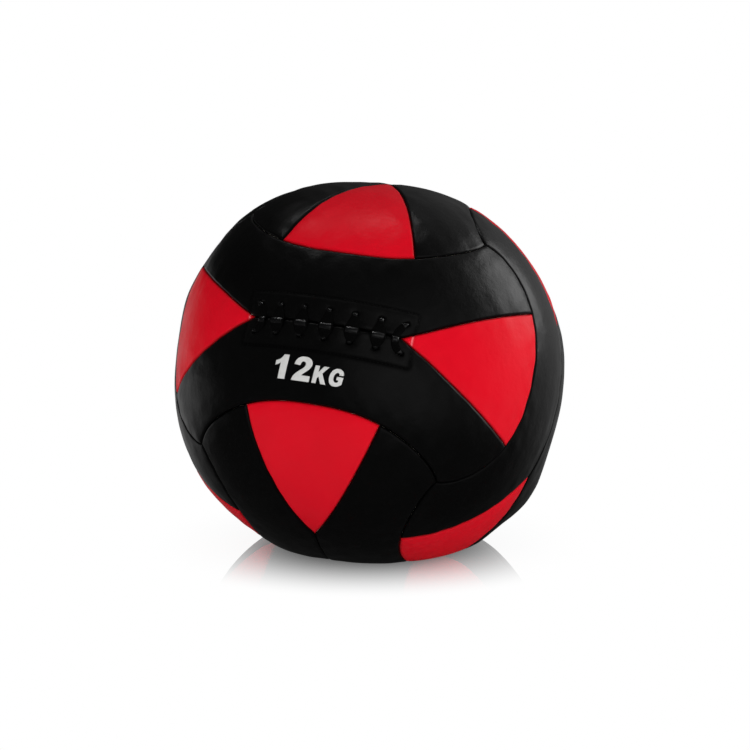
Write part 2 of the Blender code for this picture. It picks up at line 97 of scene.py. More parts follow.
def smoothStep(value, low, high):
    # 0 below low, 1 above high, and 3x^2 - 2x^3 between them
    share = np.clip((value - low) / (high - low), 0, 1)
    return share * share * (3 - 2 * share)


def bell(share):
    # e to the power of minus the square
    return np.exp(-(share**2))


def ringTurns(count):
    # Equal angles, once round
    return np.linspace(0, 2 * math.pi, count, endpoint=False)


def lengthsAlong(line):
    # The length from a line's first point to each of its points
    return np.concatenate([[0], np.cumsum(np.linalg.norm(np.diff(line, axis=0), axis=-1))])


def readLine(line, lengths, marks):
    # A line's columns at some lengths along it, straight between its points
    return np.stack([np.interp(marks, lengths, column) for column in line.T], axis=-1)


def waves(points, size, seed):
    # Seven sine waves of one length that run in seven random ways, added up and divided by the root of 7:
    # a soft noise round zero
    count = 7
    chance = np.random.default_rng(seed)
    ways = unit(chance.normal(size=(count, 3)))
    starts = chance.uniform(0, 2 * math.pi, count)
    return np.sin(points @ ways.T * (2 * math.pi / size) + starts).sum(axis=-1) / math.sqrt(count)


def coverRadius(rays, relief=0):
    # The radius, less the sink times (2 * sum of x^4 - 1), plus the rise times 27 x^2 y^2 z^2, the lumps and
    # a bell curve for each bulge, and then the lesser of that and the line's length down to the floor,
    # blended over the shoulder
    squares = rays**2
    face = 2 * (squares**2).sum(axis=-1) - 1
    corner = 27 * squares.prod(axis=-1)
    lumps = ball["lumps"] * waves(rays * radius, ball["lumpSize"], ball["lumpSeed"])
    for way, height, width in ball["bulges"]:
        apart = np.arccos(np.clip(rays @ (unit(np.array(way)) @ turn), -1, 1))
        lumps = lumps + height * bell(apart / width)
    free = radius - ball["faceSink"] * face + ball["cornerRise"] * corner + lumps + relief
    down = np.maximum(-(rays @ turn[2]), restHeight / (2 * radius))
    floor = restHeight / down
    blend = np.maximum(ball["shoulder"] - np.abs(free - floor), 0)
    return np.minimum(free, floor) - blend**2 / (4 * ball["shoulder"])


def drawnIn(rays):
    # Turned along the laced seam, towards its middle, by a bell curve round each of its ends
    side, front, up = rays[..., 0], -rays[..., 1], rays[..., 2]
    along = np.arctan2(side, front) - lacingShift / radius
    across = np.arcsin(np.clip(up, -1, 1))
    ends = (np.abs(along) * radius - ball["drawnPlace"]) / ball["drawnLength"]
    share = np.exp(-(ends**2) - (across * radius / ball["drawnWidth"]) ** 2)
    by = -np.sign(along) * share * (front > nearFront) * ball["drawn"] / radius
    turned = (side * np.cos(by) + front * np.sin(by), side * np.sin(by) - front * np.cos(by), up)
    return np.stack(turned, axis=-1)


def place(rays, radii):
    # Drawn in, times the radius, turned as the ball lies and moved to its centre
    return (drawnIn(rays) * radii[..., None]) @ turn.T + ballCentre


# The seams, as angles along and across a cube face

seams = {
    "middleLength": 0.140,
    "redLength": 0.136,  # a red panel, from its point to the middle of its base
    "redBase": 0.1186,
    "redBowShare": 0.07,  # how far its sides bow out
    "baseFullness": 2.5,
    "baseEndPower": 0.65,  # how steeply the ends of a base seam turn in
    "depth": 0.0022,
    "shoulder": 0.0025,  # the strip that rounds over into the seam
    "pull": 0.0009,  # the wider dip along a seam
    "pullReach": 0.008,
    "pressed": 0.5,  # how much shallower they are where the ball's weight presses them flat
    "gap": 0.0002,
    "sampleStep": 0.002,
    "blockPoints": 8000,  # measured at once, to save memory
}
cubeCorner = math.asin(1 / math.sqrt(3))  # off the middle plane of a face
seamEnd = seams["middleLength"] / 2 / radius
baseMiddle = seamEnd + seams["redLength"] / radius
baseEnd = seams["redBase"] / 2 / radius


def faceFrame(axis, sign):
    # A cube face's outward way, the way along its middle seam and the way across it
    ways = np.eye(3)
    return sign * ways[axis], ways[axis - 1], ways[(axis + 1) % 3]


def onFace(axis, sign, along, across):
    # The face's outward way, turned by the angle along and then by the angle across
    normal, alongWay, acrossWay = faceFrame(axis, sign)
    along, across = np.asarray(along)[..., None], np.asarray(across)[..., None]
    return np.cos(across) * (np.cos(along) * normal + np.sin(along) * alongWay) + np.sin(across) * acrossWay


def baseSeam(across):
    # 45 degrees, plus what the middle has more, times (1 - share^fullness)^endPower
    share = np.minimum(np.abs(across) / cubeCorner, 1)
    more = (1 - share ** seams["baseFullness"]) ** seams["baseEndPower"]
    return quarter / 2 + (baseMiddle - quarter / 2) * more


def redSide(run):
    # A straight line from the point to the base's end, bowed by 4 * share * run * (1 - run)
    along = seamEnd + run * (baseSeam(baseEnd) - seamEnd)
    return along, baseEnd * (run + 4 * seams["redBowShare"] * run * (1 - run))


def seamLines():
    # Every seam of one eighth of the cube: the others are its mirror images
    step = seams["sampleStep"] / radius
    middleRun = np.linspace(0, seamEnd, round(seamEnd / step))
    sideAlong, sideAcross = redSide(np.linspace(0, 1, round(baseMiddle / step)))
    baseAcross = cubeCorner * np.sin(np.linspace(0, quarter, round(quarter * cubeCorner / step)))
    lines = []
    for axis in range(3):
        lines.append(onFace(axis, 1, middleRun, 0 * middleRun))
        lines.append(onFace(axis, 1, sideAlong, sideAcross))
        lines.append(onFace(axis, 1, baseSeam(baseAcross), baseAcross))
    return lines


seamPoints = np.concatenate(seamLines())
seamBefore = np.concatenate([np.concatenate([line[:1], line[:-1]]) for line in seamLines()])
seamAfter = np.concatenate([np.concatenate([line[1:], line[-1:]]) for line in seamLines()])


def toSegment(points, start, end):
    # The distance to the nearest point of a straight stretch, which never lies past its ends
    run = end - start
    length = np.maximum((run**2).sum(axis=-1), 1e-12)
    share = np.clip(((points - start) * run).sum(axis=-1) / length, 0, 1)
    return np.linalg.norm(points - start - share[..., None] * run, axis=-1)


def seamDistance(rays):
    # The radius times the lesser distance to the two stretches that meet at the nearest sample of a seam
    folded = np.abs(rays.reshape(-1, 3))
    nearest = np.concatenate([
        (block @ seamPoints.T).argmax(axis=1)
        for block in np.array_split(folded, 1 + len(folded) // seams["blockPoints"])
    ])
    before = toSegment(folded, seamBefore[nearest], seamPoints[nearest])
    after = toSegment(folded, seamPoints[nearest], seamAfter[nearest])
    return radius * np.minimum(before, after).reshape(rays.shape[:-1])


def seamDip(distance):
    # A quarter ellipse from the seam's bottom to its shoulder, and an exponential dip past it
    share = 1 - np.clip(distance / seams["shoulder"], 0, 1)
    rounded = 1 - np.sqrt(1 - share**2)
    return seams["depth"] * rounded + seams["pull"] * np.exp(-distance / seams["pullReach"])


# The lacing's own places, in lengths along and across the front middle seam

lacing = {
    "columns": 7,
    "reach": 0.067,  # from the middle to the outer holes
    "row": 0.0128,
    "holeRadius": 0.0022,
    "dimple": 0.0011,  # the leather drawn in round a hole
    "dimpleReach": 0.0034,
    "pucker": 0.0005,  # the leather bulges between stitches
    "puckerReach": 0.010,
    "lipRise": 0.0005,  # the two edges stand up where the lace draws them together
    "lipPlace": 0.0032,
    "lipWidth": 0.0024,
    "facingRise": 0.0002,  # the second layer inside the stitching
    "stitchLength": 0.153,
    "stitchAlong": -0.0005,  # the stitching's middle, from the lacing's
    "stitchLower": 0.0243,  # from the seam to the stitching below it
    "stitchUpper": 0.0232,
    "stitchCorner": 0.003,
    "stitchGroove": 0.0008,
    "grooveWidth": 0.0010,
    "stitchPitch": 0.0034,
    "ripple": 0.2,  # the lips and the groove weaken by up to twice this share, once a stitch
}
columns = np.linspace(-lacing["reach"], lacing["reach"], lacing["columns"])
pitch = columns[1] - columns[0]
stitchHalf = (lacing["stitchUpper"] + lacing["stitchLower"]) / 2
stitchMiddle = (lacing["stitchUpper"] - lacing["stitchLower"]) / 2


def lacingPlace(rays):
    # The angles times the radius, along less the lacing's shift, and whether the ray lies near the lacing
    normal, alongWay, acrossWay = faceFrame(1, -1)
    along = np.arctan2(rays @ alongWay, rays @ normal) * radius - lacingShift
    across = np.arcsin(np.clip(rays @ acrossWay, -1, 1)) * radius
    return along, across, rays @ normal > nearFront


def lacingRays(along, across):
    # The other way round: the lengths, along with the shift, over the radius are the angles
    return onFace(1, -1, (along + lacingShift) / radius, across / radius)


def stitchBorder(along, across):
    # How far a place is outside the rounded rectangle of stitching, less than zero inside it
    corner = lacing["stitchCorner"]
    besideAlong = np.abs(along - lacing["stitchAlong"]) - lacing["stitchLength"] / 2 + corner
    besideAcross = np.abs(across - stitchMiddle) - stitchHalf + corner
    outside = np.hypot(np.maximum(besideAlong, 0), np.maximum(besideAcross, 0))
    return outside + np.minimum(np.maximum(besideAlong, besideAcross), 0) - corner


def toHole(along, across):
    # The lengths from the nearest hole, along and outwards: its column is the length over the pitch, rounded
    number = np.clip(np.round((along - columns[0]) / pitch), 0, lacing["columns"] - 1).astype(int)
    return along - columns[number], np.abs(across) - lacing["row"]


def lacingRelief(rays):
    # Bell curves round the holes and along the lips, waves between the stitches that fade across by the
    # fourth power and past the outer holes over a third of a pitch, a step at the facing's edge and a groove
    # under its stitching
    along, across, near = lacingPlace(rays)
    besideHole, beyondHole = toHole(along, across)
    border = stitchBorder(along, across)
    ends = smoothStep(-np.abs(along), -lacing["reach"] - pitch / 3, -lacing["reach"])
    dimple = np.exp(-(besideHole**2 + beyondHole**2) / lacing["dimpleReach"] ** 2)
    stitchPhase = np.cos(2 * math.pi * (along - columns[0]) / pitch)
    pucker = stitchPhase * np.exp(-((np.abs(across) / lacing["puckerReach"]) ** 4))
    lip = bell((np.abs(across) - lacing["lipPlace"]) / lacing["lipWidth"])
    nearLongSide = np.abs(across - stitchMiddle) > stitchHalf - lacing["stitchCorner"]
    ripple = np.cos(2 * math.pi * np.where(nearLongSide, along, across) / lacing["stitchPitch"])
    groove = bell(border / lacing["grooveWidth"]) * (1 - lacing["ripple"] * (1 + ripple))
    relief = (
        lacing["facingRise"] * smoothStep(-border, 0, 2 * lacing["grooveWidth"])
        - lacing["stitchGroove"] * groove
        - lacing["dimple"] * dimple
        - lacing["pucker"] * pucker * ends
        + lacing["lipRise"] * lip * ends * (1 - lacing["ripple"] * (1 + stitchPhase))
    )
    return np.where(near, relief, 0)


# The cover's surface, with its seams, its lacing and the fine creases of drawn leather

creases = {"height": 0.00022, "length": 0.016, "reach": 0.022, "seed": 5}


def coverPoints(rays):
    # The cover's radius with its relief, less the seams' dip, which is shallower where it is pressed flat.
    # The creases are waves that fade from the seams in a bell curve.
    distance = seamDistance(rays)
    drawn = waves(rays * radius, creases["length"], creases["seed"]) * bell(distance / creases["reach"])
    relief = lacingRelief(rays) + creases["height"] * drawn
    pressed = smoothStep(-(rays @ turn[2]), restHeight / radius, 1)
    dip = seamDip(distance) * (1 - seams["pressed"] * pressed)
    return place(rays, coverRadius(rays, relief) - dip), distance


def clustered(count, closer=0.9):
    # Shares from 0 to 1 that lie closer at both ends: run - closer * sin(2 pi run) / 2 pi
    run = np.linspace(0, 1, count)
    return run - closer * np.sin(2 * math.pi * run) / (2 * math.pi)


def gridQuads(rows, columnsWide, wrap=False):
    # Each quad joins two neighbours in a row to the same two in the next
    row = np.arange(rows - 1)[:, None] * columnsWide
    start = np.arange(columnsWide if wrap else columnsWide - 1)[None]
    after = (start + 1) % columnsWide
    corners = (row + start, row + after, row + columnsWide + after, row + columnsWide + start)
    return np.stack(corners, axis=-1).reshape(-1, 4)


def gridPairs(first, second):
    # Both values at every point of a grid
    return np.stack(np.broadcast_arrays(first, second), axis=-1)


def addObject(name, data):
    thing = bpy.data.objects.new(name, data)
    bpy.context.scene.collection.objects.link(thing)
    return thing


def addMesh(name, points, quads, material, nodes=(), outward=True, uv=None, attributes=None):
    # One finished piece at the origin. Coinciding points are merged, which closes poles and seams.
    points = np.asarray(points, float).reshape(-1, 3)
    if outward:
        corners = points[quads] - ballCentre
        normal = np.cross(corners[:, 2] - corners[:, 0], corners[:, 3] - corners[:, 1])
        if (normal * corners.mean(axis=1)).sum() < 0:
            quads = quads[:, ::-1]
    mesh = bpy.data.meshes.new(name)
    mesh.vertices.add(len(points))
    mesh.vertices.foreach_set("co", points.ravel())
    mesh.loops.add(quads.size)
    mesh.loops.foreach_set("vertex_index", quads.ravel().astype(np.int32))
    mesh.polygons.add(len(quads))
    mesh.polygons.foreach_set("loop_start", np.arange(0, quads.size, 4, dtype=np.int32))
    mesh.update(calc_edges=True)
    if uv is not None:
        layer = mesh.uv_layers.new(name="UVMap")
        layer.data.foreach_set("uv", uv.reshape(-1, 2)[quads.ravel()].ravel())
    for key, values in (attributes or {}).items():
        layer = mesh.attributes.new(key, "FLOAT", "POINT")
        layer.data.foreach_set("value", values.ravel().astype(np.float32))
    shape = bmesh.new()
    shape.from_mesh(mesh)
    bmesh.ops.remove_doubles(shape, verts=shape.verts, dist=mergeDistance)
    if not outward:
        bmesh.ops.recalc_face_normals(shape, faces=shape.faces)
    shape.to_mesh(mesh)
    shape.free()
    mesh.shade_smooth()
    mesh.materials.append(material)
    piece = addObject(name, mesh)
    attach(piece, "root")
    if nodes:
        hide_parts(*nodes)
    return piece


def thicken(piece, wall):
    solidify = piece.modifiers.new("wall", "SOLIDIFY")
    solidify.thickness = wall
    solidify.offset = -1
    solidify.use_even_offset = False


# Materials

white = (1, 1, 1, 1)


def colour(hexValue):
    # sRGB hex to linear
    channels = np.array([int(hexValue[place : place + 2], 16) for place in (1, 3, 5)]) / 255
    linear = np.where(channels <= 0.04045, channels / 12.92, ((channels + 0.055) / 1.055) ** 2.4)
    return (*linear.tolist(), 1)


def addNode(tree, kind, values=None, links=None, out=None, **settings):
    # Gives back the output that is named, or else the first that the settings leave in use
    node = tree.nodes.new("ShaderNode" + kind)
    for key, value in settings.items():
        setattr(node, key, value)
    for key, value in (values or {}).items():
        node.inputs[key].default_value = value
    for key, socket in (links or {}).items():
        tree.links.new(socket, node.inputs[key])
    return node.outputs[out] if out else next((socket for socket in node.outputs if socket.enabled), None)


def newMaterial(name):
    material = bpy.data.materials.new(name)
    material.use_nodes = True
    material.node_tree.nodes.clear()
    spots = addNode(material.node_tree, "TexCoord").node.outputs
    return material, material.node_tree, spots["Object"], spots["UV"]


shaderInputs = {
    "roughness": "Roughness", "specular": "Specular IOR Level", "ior": "IOR", "sheen": "Sheen Weight",
}


def finishMaterial(material, look, links):
    # The look gives the shader's fixed values, and the links its patterns
    values = {shaderInputs[key]: value for key, value in look.items() if key in shaderInputs}
    shader = addNode(material.node_tree, "BsdfPrincipled", values, links)
    addNode(material.node_tree, "OutputMaterial", links={"Surface": shader})
    return material


def finishToned(material, look, shade, height, invert=False):
    # One pattern shades it from dark to light, and one raises its surface
    tree = material.node_tree
    tones = {"A": colour(look["dark"]), "B": colour(look["light"])}
    tone = addNode(tree, "Mix", tones, {"Factor": shade}, data_type="RGBA")
    raised = {"Strength": 1, "Distance": look["height"]}
    bump = addNode(tree, "Bump", raised, {"Height": height}, invert=invert)
    return finishMaterial(material, look, {"Base Color": tone, "Normal": bump})


def woven(name, look):
    # Two sets of ribs or threads cross, and the higher of the two shows. A wave texture's scale is pi / 10
    # over their spacing.
    material, tree, _, uv = newMaterial(name)
    wave = {"Scale": math.pi / 10 / look["spacing"], "Distortion": look["wander"]}
    sets = []
    for degrees, way in look["sets"]:
        turned = uv
        if degrees:
            turned = addNode(tree, "Mapping", {"Rotation": (0, 0, math.radians(degrees))}, {"Vector": uv})
        sets.append(addNode(tree, "TexWave", wave, {"Vector": turned}, "Fac", bands_direction=way))
    higher = addNode(tree, "Math", links={0: sets[0], 1: sets[1]}, operation="MAXIMUM")
    return finishToned(material, look, higher, higher)


def speckled(name, look):
    # Soft noise shades it, and small rounded bits raise it, or the noise itself where it has none
    material, tree, spots, _ = newMaterial(name)
    noise = {"Scale": 1 / look["toneSize"], "Detail": look["detail"]}
    tone = addNode(tree, "TexNoise", noise, {"Vector": spots})
    if "bits" not in look:
        return finishToned(material, look, tone, tone)
    bits = addNode(tree, "TexVoronoi", {"Scale": 1 / look["bits"]}, {"Vector": spots})
    return finishToned(material, look, tone, bits, invert=True)


def syntheticLeather(name, look):
    # Polyurethane leather: an embossed fine grain under a satin top coat gives soft, wide highlights, and
    # handling leaves it a little uneven in tone and gloss
    material, tree, spots, _ = newMaterial(name)
    tone, gloss, soft = (
        addNode(tree, "TexNoise", {"Scale": 1 / look[size], "Detail": detail}, {"Vector": spots})
        for size, detail in (("toneSize", 4), ("glossSize", 5), ("creaseSize", 3))
    )
    # Mixed into the base: the painted line along the stitching (a highlight on red, shade on black) and
    # painted shade at the seams
    paintedLine, seam = (addNode(tree, "Attribute", out="Fac", attribute_name=key) for key in ("paintedLine", "paintedShadeShare"))
    tones = {"A": colour(look["dark"]), "B": colour(look["light"])}
    base = addNode(tree, "Mix", tones, {"Factor": tone}, data_type="RGBA")
    for key, share in (("paintedLine", paintedLine), ("seam", seam)):
        base = addNode(tree, "Mix", {"B": colour(look[key])}, {"Factor": share, "A": base}, data_type="RGBA")
    (low, high), (least, most) = look["glossNoise"], look["roughnesses"]
    ends = {"From Min": low, "From Max": high, "To Min": least, "To Max": most}
    rough = addNode(tree, "MapRange", ends, {"Value": gloss})
    rough = addNode(tree, "Mix", {"B": look["wornRoughness"]}, {"Factor": paintedLine, "A": rough})
    cells = {"Scale": 1 / look["grainSize"]}
    grain = addNode(tree, "TexVoronoi", cells, {"Vector": spots}, feature="SMOOTH_F1")
    raised = [{"Strength": 1, "Distance": look[key]} for key in ("grainHeight", "creaseHeight")]
    grained = addNode(tree, "Bump", raised[0], {"Height": grain}, invert=True)
    creased = addNode(tree, "Bump", raised[1], {"Height": soft, "Normal": grained})
    return finishMaterial(material, look, {"Base Color": base, "Roughness": rough, "Normal": creased})


redLook = {
    "dark": "#C80418",
    "light": "#D8061F",
    # painted shade: the darker red that the leather is coloured in the seams
    "seam": "#96040D",
    "paintedLine": "#EC7078",  # painted highlight: a pale line where the facing's stitched edge presses up from below
    "glossNoise": (0.3, 0.7),  # as the noise goes from the first to the second, so does the roughness
    "roughnesses": (0.30, 0.40),
    "wornRoughness": 0.8,
    "specular": 0.16,
    "ior": 1.5,
    "toneSize": 0.06,
    "glossSize": 0.02,
    "grainSize": 0.0011,  # the real grain is half as wide, too fine to show
    "grainHeight": 0.00005,
    "creaseSize": 0.005,
    "creaseHeight": 0.00025,
}
# On the black, the seam and line colours are painted shade: nearly black at the seams, in the stitching
# groove and along the stitching
blackLook = {
    **redLook, "dark": "#030303", "light": "#080808", "seam": "#010101", "paintedLine": "#010101", "specular": 0.42,
}


# The red and the black panels

panels = {
    "wall": 0.0016,
    "redRows": 64,
    "tipRows": 180,  # of the two whose points the stitched line crosses
    "redColumns": 76,
    "blackRows": 56,
    "blackColumns": 190,
    "lacedRows": 104,
    "lacedColumns": 340,
    "fillRows": 33,  # the coarse fill that the fine black grid is read from
    "fillColumns": 97,
    "longSeamEven": 0.8,  # less than 1 spreads the fill's points more evenly along the long edge
    "blackHeight": 0.06,
    "blackWidth": 0.25,
    "seamTint": 0.0012,  # painted shade: the leather is coloured darker this close to a seam
    "highlightLineWidth": 0.0006,  # of the painted highlight, a pale line over the red points
    "dullWidth": 0.0018,  # of the dull line that the stitching lies in, coloured darker as painted shade
}
redLeather = syntheticLeather("red synthetic leather", redLook)
blackLeather = syntheticLeather("black synthetic leather", blackLook)
faceNames = (("left", "right"), ("front", "back"), ("bottom", "top"))
sideNames = (("left", "right"), ("front", "back"), ("lower", "upper"))


def inGap(shares, length):
    # Shares that stop half a gap short of both ends
    margin = seams["gap"] / 2 / length
    return margin + shares * (1 - 2 * margin)


def redGrid(axis, sign, side, rows):
    # run goes from the point to the base and reach across: the base seam's curve fades in with the run
    run = inGap(clustered(rows), seams["redLength"])[:, None]
    reach = 2 * inGap(clustered(panels["redColumns"]), seams["redBase"])[None] - 1
    along = seamEnd + run * (baseSeam(baseEnd * reach) - seamEnd)
    across = redSide(run)[1] * reach
    return onFace(axis, sign, side * along, across)


def sineTable(count):
    # The sine waves that fit between two fixed ends, and how fast each evens out
    steps = np.arange(1, count + 1)
    table = np.sin(math.pi * np.outer(steps, steps) / (count + 1)) * math.sqrt(2 / (count + 1))
    return table, 2 - 2 * np.cos(math.pi * steps / (count + 1))


def fillGrid(low, high, start, end):
    # Every inner point is the mean of its four neighbours, which sine waves along both ways solve at once
    rows, wide = len(start), len(low)
    grid = np.zeros((rows, wide, 3))
    grid[0], grid[-1], grid[:, 0], grid[:, -1] = low, high, start, end
    load = np.zeros((rows - 2, wide - 2, 3))
    load[0] += low[1:-1]
    load[-1] += high[1:-1]
    load[:, 0] += start[1:-1]
    load[:, -1] += end[1:-1]
    rowTable, rowRates = sineTable(rows - 2)
    wideTable, wideRates = sineTable(wide - 2)
    spread = np.einsum("ij,jkc,kl->ilc", rowTable, load, wideTable)
    spread /= (rowRates[:, None] + wideRates[None])[..., None]
    grid[1:-1, 1:-1] = np.einsum("ij,jkc,kl->ilc", rowTable, spread, wideTable)
    return grid


def readGrid(grid, rowShares, wideShares):
    # Between grid points the value runs straight
    for axis, shares in enumerate((rowShares, wideShares)):
        place = shares * (grid.shape[axis] - 1)
        low = np.minimum(place.astype(int), grid.shape[axis] - 2)
        part = (place - low).reshape([-1 if way == axis else 1 for way in range(3)])
        grid = np.take(grid, low, axis) * (1 - part) + np.take(grid, low + 1, axis) * part
    return grid


def blackGrid(axis, sign, side, rows, wide):
    # Low edge: a red side, the middle seam and the other red side, of one run each. High edge: the next
    # face's base seam. The points between them are filled in.
    run = np.linspace(-1.5, 1.5, panels["fillColumns"])
    sideAlong, sideAcross = redSide(np.clip(np.abs(run) - 0.5, 0, 1))
    along = np.where(np.abs(run) < 0.5, run * 2 * seamEnd, np.sign(run) * sideAlong)
    low = onFace(axis, sign, along, side * sideAcross)
    even = quarter * panels["longSeamEven"]
    longSeam = cubeCorner * np.sin(np.linspace(-even, even, panels["fillColumns"])) / np.sin(even)
    high = onFace((axis + 1) % 3, side, sign * baseSeam(longSeam), longSeam)
    ends = baseEnd + (cubeCorner - baseEnd) * np.sin(np.linspace(0, quarter, panels["fillRows"]))
    start = onFace(axis, sign, -baseSeam(ends), side * ends)
    end = onFace(axis, sign, baseSeam(ends), side * ends)
    rowShares = inGap(clustered(rows), panels["blackHeight"])
    wideShares = inGap(clustered(wide), panels["blackWidth"])
    return unit(readGrid(fillGrid(low, high, start, end), rowShares, wideShares))


def cutOut(rays, quads, centreAlong, centreAcross, outside):
    # The quads where outside is less than 1 are left out, and the rim's points are moved from or to the
    # centre until outside is 1
    inside = outside[quads].mean(axis=1) < 1
    rim = np.intersect1d(quads[inside], quads[~inside])
    along, across, _ = lacingPlace(rays[rim])
    along = centreAlong[rim] + (along - centreAlong[rim]) / outside[rim]
    across = centreAcross[rim] + (across - centreAcross[rim]) / outside[rim]
    rays = rays.copy()
    rays[rim] = lacingRays(along, across)
    used, quads = np.unique(quads[~inside], return_inverse=True)
    return rays[used], quads.reshape(-1, 4)


def punchHoles(rays, quads):
    along, across, _ = lacingPlace(rays)
    beside, beyond = toHole(along, across)
    outside = np.hypot(beside, beyond) / lacing["holeRadius"]
    return cutOut(rays, quads, along - beside, np.sign(across) * lacing["row"], outside)


def makePanel(name, grid, material, punched=False):
    # Bell curves give the painted shade at a seam or the stitching, and the painted line along the stitching
    quads = gridQuads(*grid.shape[:2])
    rays = grid.reshape(-1, 3)
    if punched:
        rays, quads = punchHoles(rays, quads)
    points, distance = coverPoints(rays)
    # Painted shade: the leather is coloured darker at the seams and, on the laced panels, in the stitching
    # groove
    paintedShadeShare = bell(distance / panels["seamTint"])
    along, across, near = lacingPlace(rays)
    border = stitchBorder(along, across)
    if punched:
        paintedShadeShare = np.maximum(paintedShadeShare, bell(border / lacing["grooveWidth"]) * near)
    # The painted line is a pale painted highlight on the red points and painted shade along the black
    # stitching line
    rubbed = bell(border / panels["dullWidth" if punched else "highlightLineWidth"]) * near
    tints = {"paintedShadeShare": paintedShadeShare, "paintedLine": rubbed * smoothStep(distance, 0, panels["seamTint"])}
    thicken(addMesh(f"{name}_panel", points, quads, material, [name], attributes=tints), panels["wall"])


for axis, faces in enumerate(faceNames):
    for face, sign in zip(faces, (-1, 1)):
        for end, side in enumerate((-1, 1)):
            redName = f"red_{face}_{sideNames[axis - 1][end]}"
            blackName = f"black_{face}_{sideNames[(axis + 1) % 3][end]}"
            laced = face == "front"
            kind = "laced" if laced else "black"
            rows, wide = panels[kind + "Rows"], panels[kind + "Columns"]
            redRows = panels["tipRows" if laced else "redRows"]
            makePanel(redName, redGrid(axis, sign, side, redRows), redLeather)
            makePanel(blackName, blackGrid(axis, sign, side, rows, wide), blackLeather, laced)
print("wall ball: 24 panels made")


# The lace: one flat woven strip, seven stitches over the seam and the runs behind it

lace = {
    "width": 0.0128,
    "shoulderWidth": 0.0098,  # half way from a hole to the seam
    "neckWidth": 0.0042,  # where it is drawn through a hole
    "hiddenWidth": 0.006,
    "endWidth": 0.0066,  # the first and the last stitch
    "endLean": 0.0062,  # and how far they lean in over the seam, clear of the red points
    "thickness": 0.0014,
    "hiddenDepth": 0.0092,
    "hiddenShares": (0.3, 0.5, 0.7),  # of the way behind the cover from one column to the next
    "tail": 0.012,
    "bend": 0.0032,
    "crest": 0.0033,  # how far its sharp fold stands off the cover
    "crestDrop": 0.0026,  # the fold lies this far below the seam
    "cup": 0.0005,
    "step": 0.0004,
    "aroundPoints": 28,
    "evenings": 6,
    "endPoints": 3,  # over this many points its two cut ends close
    "rubbed": (0.3, 0.7),  # it turns from matt to shiny between these shares of a bend's shine
    "selvedge": (0.72, 0.92),  # its edges are bound off matt, from and to these shares of half its width
}


def laceRoute():
    # Along, across, height, width and shine, stitch by stitch: the lace is rubbed shiny where it bends. The
    # folds drop, and the end stitches lean in, by 1 - (across / row)^2.
    row, bend, deep = lacing["row"], lace["bend"], -lace["hiddenDepth"]
    neck, full, hidden = lace["neckWidth"], lace["width"], lace["hiddenWidth"]
    shoulder = lace["shoulderWidth"]
    over = (  # across, height, width and shine, from behind the cover through a hole to the fold
        (row - bend / 2, deep, neck, 0),
        (row + 0.0004, deep * 0.7, neck, 0),
        (row + 0.0006, -0.0030, neck, 0),
        (row + 0.0006, -0.0010, neck, 1),
        (row, 0.0005, neck, 1),
        (row - 0.0012, 0.0009, neck, 1),
        (row - 0.0026, 0.0008, (2 * neck + shoulder) / 3, 0),
        (row / 2, 0.0009, shoulder, 0),
        (0.0044, 0.0011, (shoulder + full) / 2, 0),
        (0.0028, 0.0016, full, 0),
        (0.0014, 0.0027, full, 1),
    )
    stitch = [*over, (0, lace["crest"], full, 1), *((-spot[0], *spot[1:]) for spot in reversed(over))]
    route = [(columns[0] - bend, row - lace["tail"], deep, hidden, 0)]
    for number, column in enumerate(columns):
        lean = lace["endLean"] * ((number == 0) - (number == len(columns) - 1))
        widest = lace["endWidth"] if lean else full
        for across, height, width, shine in stitch:
            inner = 1 - min(abs(across) / row, 1) ** 2
            across -= lace["crestDrop"] * inner
            route.append((column + lean * inner, across, height, min(width, widest), shine))
        if number < len(columns) - 1:
            for share in lace["hiddenShares"]:
                route.append((column + share * pitch, (2 * share - 1) * row, deep, hidden, 0))
    route.append((columns[-1] + bend, lace["tail"] - row, deep, hidden, 0))
    return np.array(route)


def evenPath(route, step, passes):
    # Points at equal steps along straight lines through the route, then each is moved to
    # a quarter, a half and a quarter of itself and its neighbours, over and over
    lengths = lengthsAlong(route[:, :3])
    path = readLine(route, lengths, np.linspace(0, lengths[-1], round(lengths[-1] / step)))
    for _ in range(passes):
        path[1:-1] = (path[:-2] + 2 * path[1:-1] + path[2:]) / 4
    return path


def onCover(along, across, height):
    # The cover's radius plus the height
    rays = lacingRays(along, across)
    return place(rays, coverRadius(rays) + height)


def stripAlong(path):
    # A flat section carried along the path: across it the root of the cosine, and through it the sine, less
    # the cup times the square of what lies across. Both cut ends close by a root.
    along, across, height, width, shine = path.T
    centre = onCover(along, across, height)
    ahead = unit(np.gradient(centre, axis=0))
    seamWay = onCover(along + 1e-4, across, height) - centre  # a short step along the seam
    side = unit(seamWay - (seamWay * ahead).sum(axis=-1, keepdims=True) * ahead)
    out = np.cross(ahead, side)
    turns = ringTurns(lace["aroundPoints"])
    wide = np.sign(np.cos(turns)) * np.abs(np.cos(turns)) ** 0.5
    number = np.arange(len(path))
    ends = np.sqrt(np.clip(np.minimum(number, number[::-1]) / lace["endPoints"], 0, 1))
    flat = (width * ends / 2)[:, None] * wide
    deep = (lace["thickness"] * ends / 2)[:, None] * np.sin(turns) - lace["cup"] * wide**2 * ends[:, None]
    points = centre[:, None] + flat[..., None] * side[:, None] + deep[..., None] * out[:, None]
    uv = gridPairs(lengthsAlong(centre)[:, None], flat)
    shiny = smoothStep(shine, *lace["rubbed"])[:, None] * (1 - smoothStep(np.abs(wide), *lace["selvedge"]))
    return points, uv, 1 - shiny


